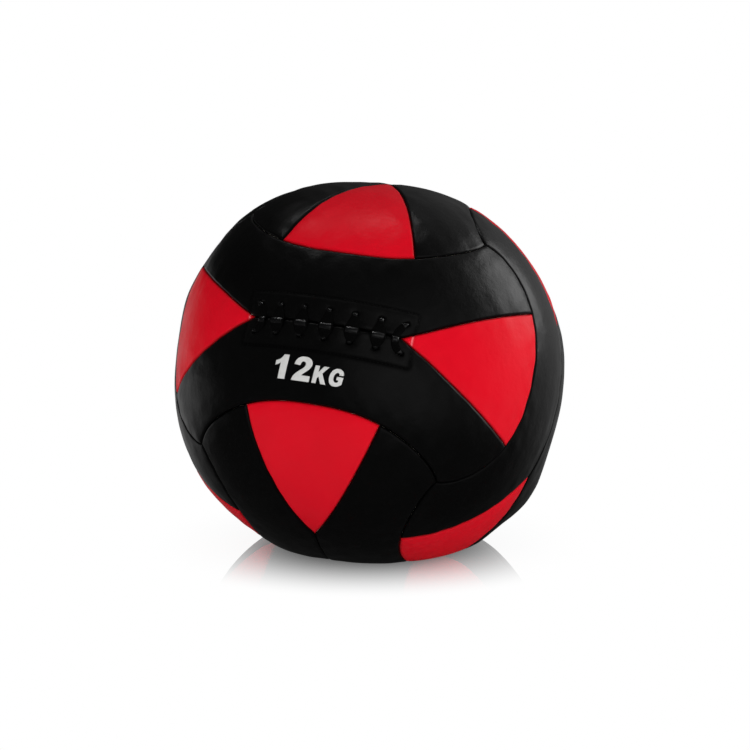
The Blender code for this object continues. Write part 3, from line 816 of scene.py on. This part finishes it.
def finishMatt(piece, material):
    # The faces whose points are matt on average take the matt finish
    mesh = piece.data
    matt = np.zeros(len(mesh.vertices), np.float32)
    mesh.attributes["matt"].data.foreach_get("value", matt)
    corners = np.zeros(len(mesh.loops), np.int32)
    mesh.loops.foreach_get("vertex_index", corners)
    starts = np.zeros(len(mesh.polygons), np.int32)
    mesh.polygons.foreach_get("loop_start", starts)
    share = np.add.reduceat(matt[corners], starts) / np.diff(np.append(starts, len(corners)))
    mesh.materials.append(material)
    mesh.polygons.foreach_set("material_index", (share > 0.5).astype(np.int32))
    mesh.update()


# Polyester lace, woven flat: diagonal ribs cross from both edges. It is matt, but its wax is rubbed shiny
# where it bends.
laceLook = {
    "dark": "#030303",
    "light": "#070708",
    "sets": ((35, "X"), (-35, "X")),  # each set's turn, in degrees, and which way it is counted
    "spacing": 0.0011,
    "wander": 0,
    "height": 0.00004,
    "roughness": 0.26,
    "specular": 1.0,
    "ior": 1.7,
}
laceMattLook = {
    **laceLook, "dark": "#020202", "light": "#060606", "roughness": 0.9, "specular": 0.1, "ior": 1.5,
}
lacePath = evenPath(laceRoute(), lace["step"], lace["evenings"])
lacePoints, laceUv, laceMatt = stripAlong(lacePath)
flatLace = addMesh(
    "flat_lace", lacePoints, gridQuads(len(lacePath), lace["aroundPoints"], wrap=True),
    woven("black rubbed lace", laceLook), ["lace"], outward=False, uv=laceUv,
    attributes={"matt": laceMatt},
)
finishMatt(flatLace, woven("black woven lace", laceMattLook))
print("wall ball: lace made")


# The stitches round the facings

thread = {
    "radius": 0.00036,
    "gap": 0.0008,
    "sink": 0.0004,  # a stitch's ends lie this far below the leather
    "rise": 0.0001,
    "points": 9,
    "sides": 8,
    "cornerPoints": 9,
}


def stitchLine(marks):
    # The rounded rectangle by length along it: places, as along and across, and its whole length
    corner = lacing["stitchCorner"]
    halfLength = lacing["stitchLength"] / 2
    turns = np.linspace(0, quarter, thread["cornerPoints"])
    outline = []
    for quarterTurn, (x, y) in enumerate(((1, 1), (-1, 1), (-1, -1), (1, -1))):
        bend = turns + quarterTurn * quarter
        outline.append(np.stack([
            lacing["stitchAlong"] + x * (halfLength - corner) + corner * np.cos(bend),
            stitchMiddle + y * (stitchHalf - corner) + corner * np.sin(bend),
        ], axis=-1))
    outline = np.concatenate(outline + [outline[0][:1]])
    lengths = lengthsAlong(outline)
    return readLine(outline, lengths, marks % lengths[-1]), lengths[-1]


def onRed(spots):
    # Past the seam's end, between a red panel's two sides, the stitches are sunk and only press a line up
    run = (np.abs(spots[:, 0] + lacingShift) / radius - seamEnd) / (baseMiddle - seamEnd)
    return (run > 0) & (np.abs(spots[:, 1]) / radius < redSide(np.clip(run, 0, 1))[1])


def makeStitches(material):
    # Each stitch is a round thread along half a sine wave, and a third power dips it into the leather at
    # both ends, where its radius closes by the root of 1 - x^6
    around = stitchLine(np.zeros(1))[1]
    count = round(around / lacing["stitchPitch"])
    step = around / count
    shares = np.linspace(0, 1, thread["points"])
    marks = (np.arange(count)[:, None] + 0.5) * step + (shares - 0.5) * (step - thread["gap"])
    spots = stitchLine(marks.ravel())[0].reshape(count, -1, 2)
    rays = lacingRays(spots[..., 0], spots[..., 1])
    overRed = onRed(spots[:, thread["points"] // 2])
    rays, count = rays[~overRed], count - overRed.sum()
    ground, _ = coverPoints(rays)
    out = unit(ground - ballCentre)
    lift = thread["rise"] * np.sin(math.pi * shares) - thread["sink"] * np.abs(2 * shares - 1) ** 3
    centre = ground + out * lift[:, None]
    ahead = unit(np.gradient(centre, axis=1))
    side = unit(np.cross(out, ahead))
    up = np.cross(ahead, side)
    turns = ringTurns(thread["sides"])
    size = thread["radius"] * np.sqrt(1 - np.abs(2 * shares - 1) ** 6)
    ring = np.cos(turns)[:, None] * side[:, :, None] + np.sin(turns)[:, None] * up[:, :, None]
    points = centre[:, :, None] + size[:, None, None] * ring
    quads = gridQuads(thread["points"], thread["sides"], wrap=True)
    firsts = np.arange(count)[:, None, None] * thread["points"] * thread["sides"]
    quads = (quads[None] + firsts).reshape(-1, 4)
    addMesh("facing_stitches", points, quads, material, ["facing_stitching"], outward=False)


# Bonded polyester thread: its coating is slightly shiny, and a fine noise stands for its twist
makeStitches(speckled("black bonded thread", {
    "dark": "#010101", "light": "#040404", "toneSize": 0.0006, "detail": 2, "height": 0.0001,
    "roughness": 0.55,
}))
print("wall ball: stitches made")


# The weight mark: a heavy 12 and a smaller KG

mark = {
    "letters": (
        # letter, where it starts along the lacing, its width and its height
        ("1", -0.0416, 0.0114, 0.0208),
        ("2", -0.0238, 0.0167, 0.0208),
        ("K", -0.0046, 0.0130, 0.0150),
        ("G", 0.0099, 0.0123, 0.0150),
    ),
    "baseline": -0.0508,
    "slant": 0.13,
    "reach": 1.3,  # a letter's width with its slant, in widths
    "cut": 0.0015,
    "curveSteps": 6,  # straight steps from one of an outline's points to the next, where it bends
    "thickness": 0.00012,
}
# Outlines, in hundredths both ways: across, up and whether the outline bends there instead of turning sharply
outlines = {
    "1": (
        (42, 0, 0), (100, 0, 0), (100, 100, 0), (58, 100, 0), (45, 88, 1), (25, 78, 1), (0, 73, 0),
        (0, 54, 0), (22, 58, 1), (42, 66, 0),
    ),
    "2": (
        (0, 66, 0), (6, 84, 1), (22, 96, 1), (48, 100, 1), (76, 96, 1), (92, 85, 1), (97, 70, 1),
        (91, 56, 1), (76, 43, 1), (58, 30, 1), (50, 23.5, 0), (100, 23.5, 0), (100, 0, 0), (0, 0, 0),
        (5, 15, 1), (18, 30, 1), (38, 44, 1), (55, 56, 1), (62, 67, 1), (59, 76, 1), (49, 80, 1),
        (39, 77, 1), (34, 68, 1), (33, 63, 0),
    ),
    "K": (
        (0, 0, 0), (0, 100, 0), (31, 100, 0), (31, 64, 0), (60, 100, 0), (97, 100, 0), (60, 60, 0),
        (100, 0, 0), (64, 0, 0), (40, 40, 0), (31, 30, 0), (31, 0, 0),
    ),
    "G": (
        (97, 66, 0), (90, 85, 1), (74, 96, 1), (52, 100, 1), (28, 96, 1), (8, 79, 1), (0, 50, 1),
        (8, 21, 1), (28, 4, 1), (53, 0, 1), (78, 4, 1), (100, 16, 0), (100, 56, 0), (54, 56, 0),
        (54, 37, 0), (70, 37, 0), (70, 27, 0), (56, 22, 1), (40, 28, 1), (32, 50, 1), (40, 72, 1),
        (53, 78, 1), (64, 74, 1), (68, 64, 0),
    ),
}


def letterShape(letter, start, width, height):
    # A filled outline, slanted by its height, and cut along a fine grid so that it can bend with the ball
    curve = bpy.data.curves.new(letter, "CURVE")
    curve.dimensions, curve.fill_mode, curve.resolution_u = "2D", "BOTH", mark["curveSteps"]
    spline = curve.splines.new("BEZIER")
    spline.use_cyclic_u = True
    spline.bezier_points.add(len(outlines[letter]) - 1)
    for point, (right, up, bends) in zip(spline.bezier_points, outlines[letter]):
        right, up = right / 100, up / 100
        point.co = (start + right * width + mark["slant"] * up * height, mark["baseline"] + up * height, 0)
        point.handle_left_type = point.handle_right_type = "AUTO" if bends else "VECTOR"
    flat = addObject(letter, curve)
    bpy.context.view_layer.update()
    shape = bmesh.new()
    shape.from_mesh(flat.to_mesh())
    bpy.data.objects.remove(flat)
    cuts = (((1, 0, 0), start, width * mark["reach"]), ((0, 1, 0), mark["baseline"], height))
    for way, first, reach in cuts:
        for line in np.arange(first, first + reach, mark["cut"]):
            everything = shape.verts[:] + shape.edges[:] + shape.faces[:]
            bmesh.ops.bisect_plane(shape, geom=everything, plane_co=Vector(way) * line, plane_no=way)
    return shape


def makeMark(material):
    # All the letters in one mesh, laid on the cover and then raised by the ink's thickness
    whole = bmesh.new()
    for letter in mark["letters"]:
        shape = letterShape(*letter)
        part = bpy.data.meshes.new("letter")
        shape.to_mesh(part)
        whole.from_mesh(part)
        shape.free()
    bmesh.ops.remove_doubles(whole, verts=whole.verts, dist=mergeDistance)
    flat = np.array([vertex.co for vertex in whole.verts])
    rays = lacingRays(flat[:, 0], flat[:, 1])
    points = coverPoints(rays)[0] + (rays @ turn.T) * mark["thickness"]
    mesh = bpy.data.meshes.new("weight mark")
    whole.to_mesh(mesh)
    whole.free()
    mesh.vertices.foreach_set("co", points.ravel())
    mesh.update()
    normals = np.zeros(len(mesh.polygons) * 3)
    mesh.polygons.foreach_get("normal", normals)
    if (normals.reshape(-1, 3) @ (points.mean(axis=0) - ballCentre)).sum() < 0:
        mesh.flip_normals()
    mesh.shade_smooth()
    mesh.materials.append(material)
    piece = addObject("weight_mark", mesh)
    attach(piece, "root")
    thicken(piece, mark["thickness"])


# Screen printed vinyl ink: matt off-white, thin enough for the leather's grain to show through
makeMark(speckled("off-white screen ink", {
    "dark": "#BEBEBC", "light": "#D0D0CE", "toneSize": 0.004, "detail": 5, "bits": 0.0011, "height": 0.00003,
    "roughness": 0.6, "specular": 0.3,
}))
print("wall ball: weight mark made")


# What lies behind the lacing and inside the cover. Depths are below the cover, along the line to the centre.

filling = {
    "rings": 64,
    "around": 128,
    "clothRadius": 0.1,  # turned pieces take their UV across from a circle of this radius
    "linerDepth": 0.0069,
    "linerWall": 0.0008,
    "linerPole": 0.002,  # the angle of its smallest rings
    "linerCrease": 0.00025,
    "linerCreaseLength": 0.018,
    "linerSeed": 8,
    "opening": (0.080, 0.0268),  # half the length and width of the liner's opening behind the tongue
    "waddingDepth": 0.0084,
    "pocketDepth": 0.0121,  # the wadding is pressed in behind the tongue
    "pocketEdge": 1.25,  # from the opening's edge to here, in halves of the opening, it rises again
    "lumps": 0.0005,
    "lumpSize": 0.022,
    "lumpRange": (-1.2, 2.5),
    "frontSeed": 9,
    "backSeed": 10,
    "hollow": 0.1043,
    "half": 0.0003,  # between the two half balls
}
bag = {
    "radius": 0.104,
    "wall": 0.0009,
    "neck": 0.013,
    "waist": 0.008,
    "waistRise": 0.010,
    "neckLength": 0.024,
    "neckRows": 27,
    "neckRoom": 0.0175,  # the hollow in the wadding round the neck
    "neckRim": 0.002,  # and the width of the slope at its top
    "gathers": 11,
    "gather": 0.0006,
    "gatherAngle": 1.3,  # from the neck, within this angle, the ball is gathered too
}
bagCrown = math.sqrt(bag["radius"] ** 2 - bag["neck"] ** 2)  # where the neck leaves the ball
bagWaist = bagCrown + bag["waistRise"]
sand = {"radius": 0.1018, "lumps": 0.0004, "lumpSize": 0.03, "most": 3, "seed": 12}
tie = {
    "place": 0.0107,  # from the axis of the bag's neck
    "radius": 0.0019,
    "strands": 3,
    "twists": 9,
    "groove": 0.16,
    "around": 216,
    "section": 30,
}


def ringRays(angles):
    # Rings round the laced face's axis, at these angles from it
    normal, alongWay, acrossWay = faceFrame(1, -1)
    angles = np.asarray(angles)[:, None, None]
    turns = ringTurns(filling["around"])[:, None]
    return np.cos(angles) * normal + np.sin(angles) * (np.cos(turns) * alongWay + np.sin(turns) * acrossWay)


def axisRings(along, out):
    # Plain circles at lengths along the axis from the ball's centre
    along, out = np.asarray(along, float), np.asarray(out, float)
    return ringRays(np.arctan2(out, along)) * np.hypot(along, out)[:, None, None]


def makeTurned(name, rings, material, nodes):
    # Rings about the axis, with length as the UV both ways
    points = rings @ turn.T + ballCentre
    around = ringTurns(rings.shape[1]) * filling["clothRadius"]
    uv = gridPairs(around[None], lengthsAlong(rings[:, 0])[:, None])
    quads = gridQuads(*rings.shape[:2], wrap=True)
    return addMesh(name, points, quads, material, nodes, outward=False, uv=uv)


def toOpening(along, across):
    # 1 at the edge of the opening behind the tongue, and less inside it
    halfLength, halfWidth = filling["opening"]
    return np.maximum(np.abs(along) / halfLength, np.abs(across) / halfWidth)


def halfBall(rays, seed, pressed=0):
    # The wadding's outside: its depth below the cover, and lumps whose waves are cut off at both ends
    low, high = filling["lumpRange"]
    lumps = np.clip(waves(rays * radius, filling["lumpSize"], seed), low, high) - low
    depth = filling["waddingDepth"] + pressed + filling["lumps"] * lumps
    return rays * (coverRadius(rays) - depth)[..., None]


def makeLiner(material):
    # Rings all round at a depth that waves crease, cut out at the opening behind the tongue
    pole = filling["linerPole"]
    rays = ringRays(np.linspace(pole, math.pi - pole, 2 * filling["rings"]))
    quads = gridQuads(*rays.shape[:2], wrap=True)
    rays = rays.reshape(-1, 3)
    along, across, near = lacingPlace(rays)
    outside = np.where(near, np.maximum(toOpening(along, across), 1e-6), 9)  # anything over 1 is outside
    rays, quads = cutOut(rays, quads, 0 * along, 0 * across, outside)
    drawn = waves(rays * radius, filling["linerCreaseLength"], filling["linerSeed"])
    depth = filling["linerDepth"] + filling["linerCrease"] * (1 + np.clip(drawn, -1, 1))
    points = place(rays, coverRadius(rays) - depth)
    piece = addMesh("cotton_liner", points, quads, material, ["liner"], uv=points[:, [0, 2]])
    thicken(piece, filling["linerWall"])


def makeWadding(material):
    # Each half ball is one closed run of rings: over the outside, back over the hollow for the weight bag
    # and, in front, round the bag's neck
    edge = quarter - filling["half"] / 2 / radius
    angles = np.linspace(0, edge, filling["rings"])
    outer = ringRays(angles)
    along, across, _ = lacingPlace(outer)
    sunk = filling["pocketDepth"] - filling["waddingDepth"]
    pressed = sunk * (1 - smoothStep(toOpening(along, across), 1, filling["pocketEdge"]))
    outer = halfBall(outer, filling["frontSeed"], pressed)
    neckAngle = math.asin(bag["neckRoom"] / filling["hollow"])
    inner = ringRays(np.linspace(edge, neckAngle, filling["rings"])) * filling["hollow"]
    neckTop, rim = bag["radius"] + bag["neckLength"], bag["neckRim"]
    neck = axisRings([neckTop, neckTop + rim, neckTop + rim], [bag["neckRoom"], bag["neckRoom"] - rim, 0])
    front = makeTurned(
        "front_wadding", np.concatenate([outer, inner, neck]), material, ["wadding_front"],
    )
    outer = halfBall(ringRays(math.pi - angles[::-1]), filling["backSeed"])
    inner = ringRays(np.linspace(math.pi, math.pi - edge, filling["rings"])) * filling["hollow"]
    back = makeTurned("back_wadding", np.concatenate([inner, outer]), material, ["wadding_back"])


def makeWeightBag(material):
    # A ball of cloth that is gathered in at the tie and flares past it. The neck narrows, and its folds run
    # round it, as half of 1 plus a cosine.
    top = bag["radius"] + bag["neckLength"]
    neckAngle = math.asin(bag["neck"] / bag["radius"])
    angles = np.linspace(math.pi, neckAngle, 2 * filling["rings"])
    rise = np.linspace(0, 1, bag["neckRows"] + 1)[1:]
    along = np.where(
        rise < 0.5, bagCrown + 2 * rise * (bagWaist - bagCrown), bagWaist + (2 * rise - 1) * (top - bagWaist),
    )
    narrow = 0.5 + 0.5 * np.cos(2 * math.pi * (rise - 0.5))
    neck = axisRings(along, bag["neck"] - (bag["neck"] - bag["waist"]) * narrow)
    folds = bag["gather"] / 2 * (1 + np.cos(bag["gathers"] * ringTurns(filling["around"])))
    nearNeck = smoothStep(-angles, -bag["gatherAngle"], -neckAngle)
    body = ringRays(angles) * (bag["radius"] - folds * nearNeck[:, None])[..., None]
    normal = faceFrame(1, -1)[0]
    middleLine = (neck @ normal)[..., None] * normal
    neck = middleLine + (neck - middleLine) * (1 - folds / bag["waist"])[:, None]
    piece = makeTurned("ballast_bag", np.concatenate([body, neck]), material, ["weight_bag"])
    thicken(piece, bag["wall"])


def makeTie(material):
    # A ring whose section has a groove between each two of its strands, which turn round as it goes: the
    # groove goes as 1 less the size of a cosine
    normal, alongWay, acrossWay = faceFrame(1, -1)
    turns, section = ringTurns(tie["around"])[:, None], ringTurns(tie["section"])[None]
    strand = np.abs(np.cos(tie["strands"] / 2 * section + tie["twists"] * tie["strands"] / 2 * turns))
    size = tie["radius"] * (1 - tie["groove"] * (1 - strand))
    out = tie["place"] + size * np.cos(section)
    outWay = np.cos(turns)[..., None] * alongWay + np.sin(turns)[..., None] * acrossWay
    points = (bagWaist + size * np.sin(section))[..., None] * normal + out[..., None] * outWay
    points = points @ turn.T + ballCentre
    points = np.concatenate([points, points[:1]])
    around = np.linspace(0, 2 * math.pi * tie["place"], tie["around"] + 1)
    uv = gridPairs(around[:, None], section * tie["radius"])
    quads = gridQuads(tie["around"] + 1, tie["section"], wrap=True)
    addMesh("bag_tie", points, quads, material, ["weight_bag_tie"], outward=False, uv=uv)


def makeSand(material):
    # A ball less its lumps, which are waves
    rays = ringRays(np.linspace(0, math.pi, 2 * filling["rings"]))
    lumps = sand["lumps"] * (waves(rays * radius, sand["lumpSize"], sand["seed"]) - sand["most"])
    rings = rays * (sand["radius"] + lumps)[..., None]
    makeTurned("ballast_sand", rings, material, ["ballast"])


# The facings and the tongue keep their solids. Their leather has a duller top coat, so that its highlights
# are wider and weaker.
facingLeather = syntheticLeather("matt black synthetic leather", {
    **blackLook, "dark": "#0B0B0B", "light": "#131313", "roughnesses": (0.58, 0.68),
})
for node in ("facing_lower", "facing_upper", "tongue"):
    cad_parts[node].data.materials.clear()
    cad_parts[node].data.materials.append(facingLeather)

# Plain woven cloth: its threads pass over and under each other, so the light breaks up in small squares, two
# threads to each. Wadding and sand are masses of small loose bits, each a little different in tone.
clothLook = {"sets": ((0, "X"), (0, "Y")), "wander": 0.6}
looseLook = {"detail": 6}
makeLiner(woven("unbleached cotton", {
    **clothLook, "dark": "#CFC8B4", "light": "#E2DDCD", "spacing": 0.0012, "height": 0.0001,
    "roughness": 0.9, "sheen": 0.2,
}))
makeWadding(speckled("recycled fibre wadding", {
    **looseLook, "dark": "#C9C6BE", "light": "#EAE8E2", "toneSize": 0.006, "bits": 0.003, "height": 0.0006,
    "roughness": 1.0, "sheen": 0.4,
}))
makeWeightBag(woven("coated nylon", {
    **clothLook, "dark": "#232A3A", "light": "#323B50", "spacing": 0.0008, "height": 0.00006,
    "roughness": 0.5, "sheen": 0.05,
}))
makeTie(woven("twisted cotton cord", {
    **clothLook, "dark": "#B3AB93", "light": "#D2CBB6", "spacing": 0.0006, "height": 0.0001,
    "roughness": 0.85, "sheen": 0.2,
}))
makeSand(speckled("dry sand", {
    **looseLook, "dark": "#8E7A5A", "light": "#C9B590", "toneSize": 0.002, "bits": 0.001, "height": 0.0004,
    "roughness": 0.95, "sheen": 0.0,
}))
print("wall ball: filling made")


# The floor, the lamps and the camera

floor = {
    "size": 30,
    "white": "#F2F2F2",
    "mirrorShare": 0.81,
    "glow": 0.5,  # how much of the matt part's own shadow the camera doesn't see
    "fadeStart": 0.049,  # from here to fadeEnd the ball's reflection and shadow fade to plain white
    "fadeEnd": 0.167,
    "fadeStretch": 0.79,  # across, so that the fade is wider from side to side
    # The ball's own gloss sees the sheet pale along Y and, as a factor, dim along X: which way, from and to
    # which places, from and to which strengths, and how it goes between them
    "gloss": (("Y", -0.08, 0.28, 0.03, 0.36, "SMOOTHSTEP"), ("X", -0.22, 0.16, 1.1, 0.65, "LINEAR")),
}
lamps = {
    "fill": (0.20, 0.30),  # the room's even light, from the left to the right
    "gloss": 0.015,  # what a gloss sees of the unlit room
    "walls": (
        # the pale walls that it sees: towards which way, how pale and from which cosine to which
        ((0.80, 0.52, 0.32), 0.2, 0.4, 0.95),
        ((0.26, -0.95, 0.16), 0.22, 0.72, 0.99),
    ),
    "soft": (
        # name, towards which way it stands, distance, size, watts and whether it shows in a gloss
        ("right softbox", (0.875, 0.250, 0.405), 1.8, 1.2, 9.5, True),
        ("left lacing lamp", (-0.32, 0.27, 0.91), 1.6, 0.12, 0.5, True),
        ("right lacing lamp", (-0.02, 0.27, 0.96), 1.6, 0.12, 0.7, True),
        ("front right cloth", (0.75, -0.62, 0.22), 2.4, 2.0, 44, False),
        ("front left cloth", (-0.72, -0.66, 0.22), 2.4, 2.0, 34, False),
        ("back cloth", (-0.2, 0.9, 0.4), 2.4, 2.0, 20, False),
    ),
}


def makeFloor():
    # Polished white acrylic sheet: the ball's shadow and reflection lie near it, and further off the camera
    # sees white
    half = floor["size"] / 2
    mesh = bpy.data.meshes.new("studio floor")
    corners = [(-half, -half, 0), (half, -half, 0), (half, half, 0), (-half, half, 0)]
    mesh.from_pydata(corners, [], [(0, 1, 2, 3)])
    sheet = addObject("studio_floor", mesh)
    material, tree, spots, _ = newMaterial("polished white acrylic sheet")
    mesh.materials.append(material)
    path = addNode(tree, "LightPath").node.outputs
    matt = addNode(tree, "BsdfDiffuse", {"Color": colour(floor["white"])})
    mirror = addNode(tree, "BsdfGlossy", {"Color": white, "Roughness": 0})
    plain = addNode(tree, "Emission", {"Color": white, "Strength": 1})
    lifted = addNode(tree, "MixShader", {0: floor["glow"]}, {1: matt, 2: plain})
    polished = addNode(tree, "MixShader", {0: floor["mirrorShare"]}, {1: lifted, 2: mirror})
    squashed = addNode(tree, "Mapping", {"Scale": (floor["fadeStretch"], 1, 1)}, {"Vector": spots})
    away = addNode(tree, "VectorMath", links={0: squashed}, out="Value", operation="LENGTH")
    ends = {"From Min": floor["fadeStart"], "From Max": floor["fadeEnd"]}
    fade = addNode(tree, "MapRange", ends, {"Value": away}, interpolation_type="SMOOTHSTEP")
    seen = addNode(tree, "MixShader", links={0: fade, 1: polished, 2: plain})
    sides = addNode(tree, "SeparateXYZ", links={"Vector": spots}).node.outputs
    light = []
    for way, start, end, first, last, kind in floor["gloss"]:
        ends = {"From Min": start, "From Max": end, "To Min": first, "To Max": last}
        light.append(addNode(tree, "MapRange", ends, {"Value": sides[way]}, interpolation_type=kind))
    light = addNode(tree, "Math", links={0: light[0], 1: light[1]}, operation="MULTIPLY")
    glossy = addNode(tree, "Emission", {"Color": white}, {"Strength": light})
    other = addNode(tree, "MixShader", links={0: path["Is Glossy Ray"], 1: matt, 2: glossy})
    seen = addNode(tree, "MixShader", links={0: path["Is Camera Ray"], 1: other, 2: seen})
    addNode(tree, "OutputMaterial", links={"Surface": seen})


def makeWorld():
    # An even fill for matt surfaces. Glossy ones see an unlit room with pale walls, and the camera plain
    # white, also in the floor's mirror, whose rays are the singular ones.
    world = bpy.data.worlds.new("studio")
    bpy.context.scene.world = world
    world.use_nodes = True
    world.cycles.sampling_method = "NONE"  # light sampling would give glossy surfaces the matt ones' fill
    tree = world.node_tree
    tree.nodes.clear()
    ways = addNode(tree, "TexCoord", out="Generated")
    across = addNode(tree, "SeparateXYZ", links={"Vector": ways}, out="X")
    low, high = lamps["fill"]
    ends = {"From Min": -1, "From Max": 1, "To Min": low, "To Max": high}
    fill = addNode(tree, "MapRange", ends, {"Value": across})
    seen = addNode(tree, "Math", {0: lamps["gloss"], 1: 0})
    for way, light, start, end in lamps["walls"]:
        way = {1: Vector(way).normalized()}
        facing = addNode(tree, "VectorMath", way, {0: ways}, out="Value", operation="DOT_PRODUCT")
        ends = {"From Min": start, "From Max": end, "To Min": 0, "To Max": light}
        wall = addNode(tree, "MapRange", ends, {"Value": facing}, interpolation_type="SMOOTHSTEP")
        seen = addNode(tree, "Math", links={0: seen, 1: wall})
    path = addNode(tree, "LightPath").node.outputs
    direct = {0: path["Is Camera Ray"], 1: path["Is Singular Ray"]}
    plain = addNode(tree, "Math", links=direct, operation="MAXIMUM")
    room = addNode(tree, "Mix", links={"Factor": path["Is Glossy Ray"], "A": fill, "B": seen})
    strength = addNode(tree, "Mix", {"B": 1}, {"Factor": plain, "A": room})
    light = addNode(tree, "Background", {"Color": white}, {"Strength": strength})
    addNode(tree, "OutputWorld", links={"Surface": light})


def makeLamps():
    # Each stands at its distance along its way from the ball, and faces the ball
    for name, way, distance, size, watts, glossy in lamps["soft"]:
        light = bpy.data.lights.new(name, "AREA")
        light.shape, light.size, light.energy = "SQUARE", size, watts
        light.cycles.use_multiple_importance_sampling = glossy
        lamp = addObject(name, light)
        lamp.visible_glossy = glossy
        way = Vector(way).normalized()
        lamp.location = Vector(ballCentre) + way * distance
        lamp.rotation_euler = way.to_track_quat("Z", "Y").to_euler()


def makeCamera():
    # It looks at the ball's centre from its distance and height, and is shifted so that the centre falls
    # on its own pixel of the photograph
    camera = bpy.data.cameras.new("photo view")
    camera.lens, camera.sensor_width = view["lens"], view["sensor"]
    camera.shift_x = 0.5 - photo["ballCentrePixel"][0] / photo["width"]
    camera.shift_y = photo["ballCentrePixel"][1] / photo["height"] - 0.5
    eye = addObject("photo view", camera)
    tilt = math.radians(view["elevationDegrees"])
    eye.location = Vector(ballCentre) + view["distance"] * Vector((0, -math.cos(tilt), math.sin(tilt)))
    eye.rotation_euler = (quarter - tilt, 0, 0)
    bpy.context.scene.camera = eye


makeFloor()
makeWorld()
makeLamps()
makeCamera()
bpy.context.scene.view_settings.view_transform = "Standard"
print("wall ball: stage made")
